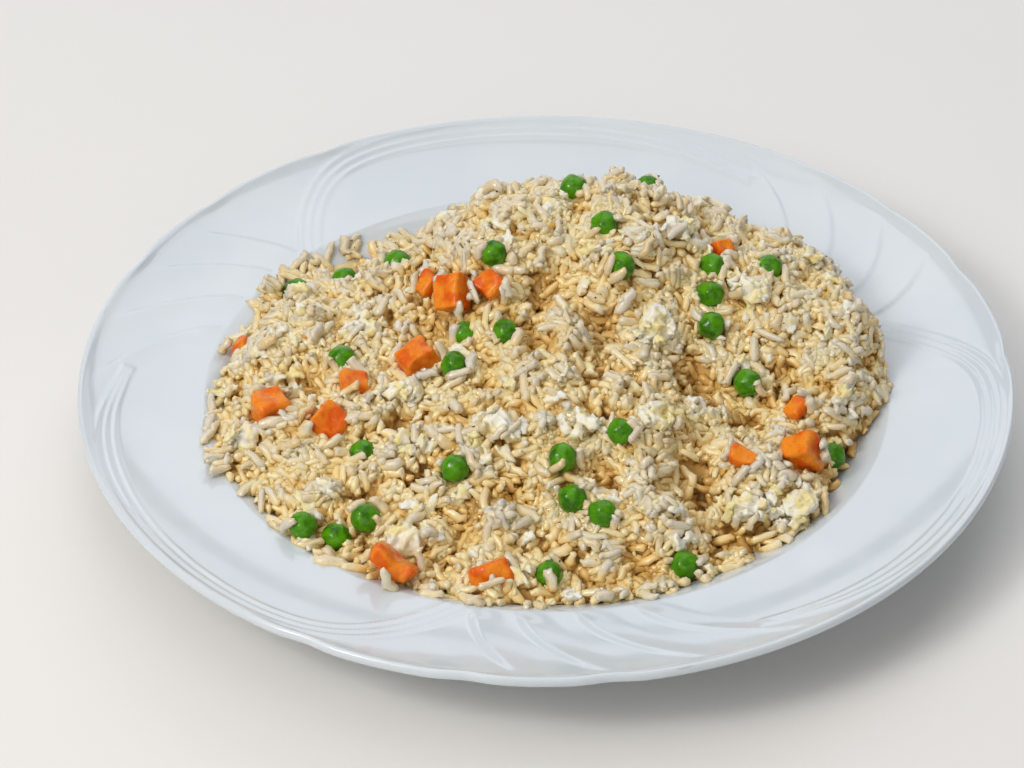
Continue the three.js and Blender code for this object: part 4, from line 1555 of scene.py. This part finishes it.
class RICE_OT_carrots(bpy.types.Operator):
    """Builds the carrot dice with rounded, knife-cut faces"""

    bl_idname = "rice.carrots"
    bl_label = "Carrot dice"

    def execute(self, context):
        values = settings("rice_carrot")
        nodes = nodes_of("carrot")
        dice = node_copy("carrot_dice", nodes)
        applied(dice, REMESH={"mode": "VOXEL", "voxel_size": values.grid},
                SMOOTH={"iterations": 38, "factor": 0.5})
        rough, uneven = values.roughness / MM, values.uneven / MM
        # Noise at three places far apart moves the points along the three axes.
        apart = [Vector((17, 3, 0)), Vector((0, 29, 5)), Vector((7, 0, 41))]
        for vertex in dice.data.vertices:
            place = vertex.co / MM / UNEVEN_OVER
            vertex.co += Vector([noise.noise(place + far) for far in apart]) * uneven * MM
        moved_by(dice, lambda p, n: uneven * 0.5 * noise.noise(p / 6.0) + 0.05
                 + rough * (1.2 * noise.noise(p / 3.2) + 0.5 * noise.noise(p / 1.2)))
        dice.data.materials.clear()
        dice.data.materials.append(carrot_flesh())
        dice.data.shade_smooth()
        finished(dice, nodes)
        return {"FINISHED"}


def scrambled_egg():
    """Scrambled egg, set soft in oil: white and pale yellow run into each other, moist."""
    values = settings("rice_egg")
    material, tree, shader = new_material("scrambled_egg")
    place = object_place(tree)
    swirl = speckle(tree, place, 7, 4, 0.6)
    base = mix(tree, spread(tree, swirl, 0.38, 0.58), values.yolk, values.white)
    fried = spread(tree, speckle(tree, place, 3.2, 3), 0.60, 0.74, 0.0, 0.6)
    # Painted shade: the curds turn golden, then brown, deeper between the grains.
    base = oil_and_painted_gap_shade(tree, mix(tree, fried, base, linear("#DDB968")), 1.3)
    fine = speckle(tree, place, 0.9, 3)
    rough = spread(tree, fine, 0.3, 0.7, 0.32, 0.55)
    fill(tree, shader, Base_Color=base, Roughness=rough, IOR=1.42,
         Normal=bump(tree, fine, 0.25, 0.7), Subsurface_Weight=0.35,
         Subsurface_Radius=(1.0, 0.8, 0.45), Subsurface_Scale=0.002, Coat_Weight=0.1,
         Coat_Roughness=0.2)
    return material


def ruffles(point, normal):
    """Height of a curd's folds at a point, in millimetres."""
    ruffle = settings("rice_egg").ruffle / MM
    warp = Vector((noise.noise(point / 6 + Vector((9, 0, 0))),
                   noise.noise(point / 6 + Vector((0, 9, 0))), 0)) * 2.5
    folds = 1 - 2.4 * abs(noise.noise((point + warp) / 4.6))
    creases = 1 - 2.4 * abs(noise.noise((point + warp) / 2.1 + Vector((0, 0, 5))))
    frills = 1 - 2.4 * abs(noise.noise((point + warp) / 1.1 + Vector((3, 0, 0))))
    return ruffle * (0.95 * folds + 0.32 * creases + 0.06 * frills - 0.66)


class RICE_OT_egg(bpy.types.Operator):
    """Builds the large curds of egg, and the shreds among the grains"""

    bl_idname = "rice.egg"
    bl_label = "Egg"

    def execute(self, context):
        values = settings("rice_egg")
        nodes = nodes_of("egg")
        material = scrambled_egg()
        curds = node_copy("egg_curds", nodes)
        applied(curds, REMESH={"mode": "VOXEL", "voxel_size": values.grid},
                SMOOTH={"iterations": 4, "factor": 0.5})
        moved_by(curds, ruffles)
        curds.data.materials.clear()
        curds.data.materials.append(material)
        curds.data.shade_smooth()
        finished(curds, nodes)
        made = packing()
        shade_by_depth(curds.data, made.face, made.valleys)
        for name, kind, shape, first, flakes, seed in (
                ("egg_shreds", SHRED, SHRED_SHAPE, 0, 2, 41),
                ("egg_small_curds", CURD, CURD_SHAPE, 20, 5, 43)):
            chosen, size = scales(kind, shape)
            shapes = [curd_shape(k, flakes) for k in range(first, first + 10)]
            torn = scattered(name, shapes, made.place[chosen], made.along[chosen], size,
                             material, seed)
            finished(torn, [])
            shade_by_depth(torn.data, made.face, made.valleys)
        return {"FINISHED"}


# ---------------------------------------------------------------- small bits


def fried_bit():
    """Crumbs fried crisp in the pan: amber to brown, glossy with oil."""
    values = settings("rice_fleck")
    material, tree, shader = new_material("fried_crumb")
    place = object_place(tree)
    tint = add(tree, "ShaderNodeAttribute", attribute_name="tint").outputs["Fac"]
    base = mix(tree, tint, values.bit, linear("#DDAE58"))
    base = mix(tree, spread(tree, speckle(tree, place, 1.0, 2), 0.5, 0.7, 0, 0.6), base,
               linear("#9A5A1C"))
    fill(tree, shader, Base_Color=base, IOR=1.45,
         Roughness=spread(tree, speckle(tree, place, 0.8, 2), 0.3, 0.7, 0.25, 0.45),
         Normal=bump(tree, speckle(tree, place, 0.5, 2), 0.1, 0.6), Subsurface_Weight=0.2,
         Subsurface_Radius=(1.0, 0.5, 0.2), Subsurface_Scale=0.001)
    return material


def pepper():
    """Ground black pepper: dark husk with paler broken faces, dry."""
    values = settings("rice_fleck")
    material, tree, shader = new_material("ground_pepper")
    place = object_place(tree)
    tint = add(tree, "ShaderNodeAttribute", attribute_name="tint").outputs["Fac"]
    base = mix(tree, spread(tree, tint, 0.3, 1.0, 0.0, 0.6), values.pepper, linear("#6B4A2A"))
    fill(tree, shader, Base_Color=base,
         Roughness=spread(tree, speckle(tree, place, 0.3, 2), 0.3, 0.7, 0.5, 0.7),
         Normal=bump(tree, speckle(tree, place, 0.3, 2), 0.05, 0.6))
    return material


class RICE_OT_flecks(bpy.types.Operator):
    """Scatters the fried bits and the pepper"""

    bl_idname = "rice.flecks"
    bl_label = "Fried bits and pepper"

    def execute(self, context):
        made = packing()
        chosen, size = scales(BIT, BIT_SHAPE)
        bits = scattered("fried_bits", [crumb_shape(k + 20, 0.5, 0.6) for k in range(4)],
                         made.place[chosen], made.along[chosen], size, fried_bit(), 51)
        finished(bits, [])
        draw = np.random.default_rng(61)
        top = np.nonzero((made.kind == GRAIN) & (made.depths() < 2.0))[0]
        hosts = draw.choice(top, settings("rice_fleck").specks, replace=False)
        normal = made.normal_at(made.place[hosts])
        place = made.place[hosts] + normal * made.radius[hosts][:, None]
        along = np.cross(normal, draw.normal(size=normal.shape))
        along /= np.linalg.norm(along, axis=1)[:, None]
        specks = scattered("pepper_specks", [crumb_shape(k + 40, 0.6, 0.5) for k in range(3)],
                           place, along, draw.uniform(0.12, 0.26, (len(hosts), 3)), pepper(), 71)
        finished(specks, [])
        return {"FINISHED"}


# ---------------------------------------------------------------- stage


FLOOR_HALF = 6.0
# Lamps round the plate: place and size in metres, watts and colour.
LAMP_AIM = (0.0, 0.0, 0.03)
LAMPS = {
    "key": ((-0.95, -0.75, 1.25), (1.0, 1.0), 10.5, "#FFF9F0"),
    "sparkle": ((-0.95, -0.72, 1.2), (0.35, 0.35), 6, "#FFFDF8"),
    "back": ((0.3, 1.2, 1.3), (1.6, 1.0), 7, "#F6F8FF"),
    "front": ((0.1, -1.6, 0.8), (1.8, 1.0), 5, "#FFFBF4"),
    "wall": ((0.0, 2.6, 0.55), (4.0, 1.2), 16, "#F7F9FF"),
    "over": ((-0.2, 0.1, 1.8), (1.4, 1.4), 7, "#FFFFFF"),
}
# The camera looks at a point over the plate's middle; the shifts only frame it, in pixels.
CAMERA_AIM = (0, 0, 0.028)
FRAME_WIDTH, SHIFT_X, SHIFT_Y = 1024, -34, -17.7


def plain_floor():
    """Matt painted board: even, pale, with the faintest mottling."""
    material, tree, shader = new_material("painted_board")
    place = object_place(tree)
    tone = mix(tree, speckle(tree, place, 220, 2), settings("rice_stage").floor,
               linear("#E4E2DF"))
    fill(tree, shader, Base_Color=tone, Roughness=0.6,
         Normal=bump(tree, speckle(tree, place, 2, 0), 0.05, 0.2))
    return material


def soft_light(name, place, size, watts, tone):
    """A large square lamp at a place, turned to the plate."""
    lamp = bpy.data.lights.new(name, "AREA")
    lamp.shape = "RECTANGLE"
    lamp.size, lamp.size_y = size
    lamp.energy = watts
    lamp.color = linear(tone)[:3]
    holder = bpy.data.objects.new(name, lamp)
    holder.location = place
    turn = (Vector(LAMP_AIM) - Vector(place)).to_track_quat("-Z", "Y")
    holder.rotation_euler = turn.to_euler()
    bpy.context.scene.collection.objects.link(holder)
    return holder


class RICE_OT_stage(bpy.types.Operator):
    """Sets the floor, the soft lamps and the camera"""

    bl_idname = "rice.stage"
    bl_label = "Stage"

    def execute(self, context):
        values = settings("rice_stage")
        scene = context.scene
        half = FLOOR_HALF / MM
        floor = object_from("floor", [(-half, -half, 0), (half, -half, 0), (half, half, 0),
                                      (-half, half, 0)], [(0, 1, 2, 3)], plain_floor(), flat=True)
        for name, (place, size, watts, tone) in LAMPS.items():
            soft_light(name, place, size, watts, tone)
        world = bpy.data.worlds.new("studio")
        scene.world = world
        world.use_nodes = True
        background = world.node_tree.nodes["Background"]
        background.inputs["Color"].default_value = linear("#EEF1F5")
        background.inputs["Strength"].default_value = 0.28
        camera = bpy.data.objects.new("camera", bpy.data.cameras.new("camera"))
        scene.collection.objects.link(camera)
        aim = Vector(CAMERA_AIM)
        away = Vector((0, -math.cos(values.elevation), math.sin(values.elevation)))
        camera.location = aim + away * values.distance
        camera.rotation_euler = (-away).to_track_quat("-Z", "Y").to_euler()
        camera.data.sensor_width = 36
        camera.data.lens = values.focal_pixels / FRAME_WIDTH * camera.data.sensor_width
        camera.data.shift_x, camera.data.shift_y = SHIFT_X / FRAME_WIDTH, SHIFT_Y / FRAME_WIDTH
        camera.data.clip_start, camera.data.clip_end = 0.01, 50
        scene.camera = camera
        scene.view_settings.view_transform = "Standard"
        scene.view_settings.look = "None"
        return {"FINISHED"}


OPERATORS = (RICE_OT_plate, RICE_OT_core, RICE_OT_grains, RICE_OT_peas, RICE_OT_carrots,
             RICE_OT_egg, RICE_OT_flecks, RICE_OT_stage)


class RICE_PT_panel(bpy.types.Panel):
    """Lists the pieces and their settings"""

    bl_idname = "RICE_PT_panel"
    bl_label = "Fried rice"
    bl_space_type = "VIEW_3D"
    bl_region_type = "UI"
    bl_category = "Fried rice"

    def draw(self, context):
        for operator in OPERATORS:
            self.layout.operator(operator.bl_idname)
        for name, group in SETTINGS.items():
            box = self.layout.box()
            box.label(text=group.__doc__)
            for item in group.__annotations__:
                box.prop(settings(name), item)


def register():
    for group in (*SETTINGS.values(), *OPERATORS, RICE_PT_panel):
        bpy.utils.register_class(group)
    for name, group in SETTINGS.items():
        setattr(bpy.types.Scene, name, PointerProperty(type=group))


def unregister():
    for name in SETTINGS:
        delattr(bpy.types.Scene, name)
    for group in (RICE_PT_panel, *reversed(OPERATORS), *reversed(list(SETTINGS.values()))):
        bpy.utils.unregister_class(group)


def main():
    register()
    for operator in OPERATORS:
        group, name = operator.bl_idname.split(".")
        getattr(getattr(bpy.ops, group), name)()


if __name__ == "__main__":
    main()
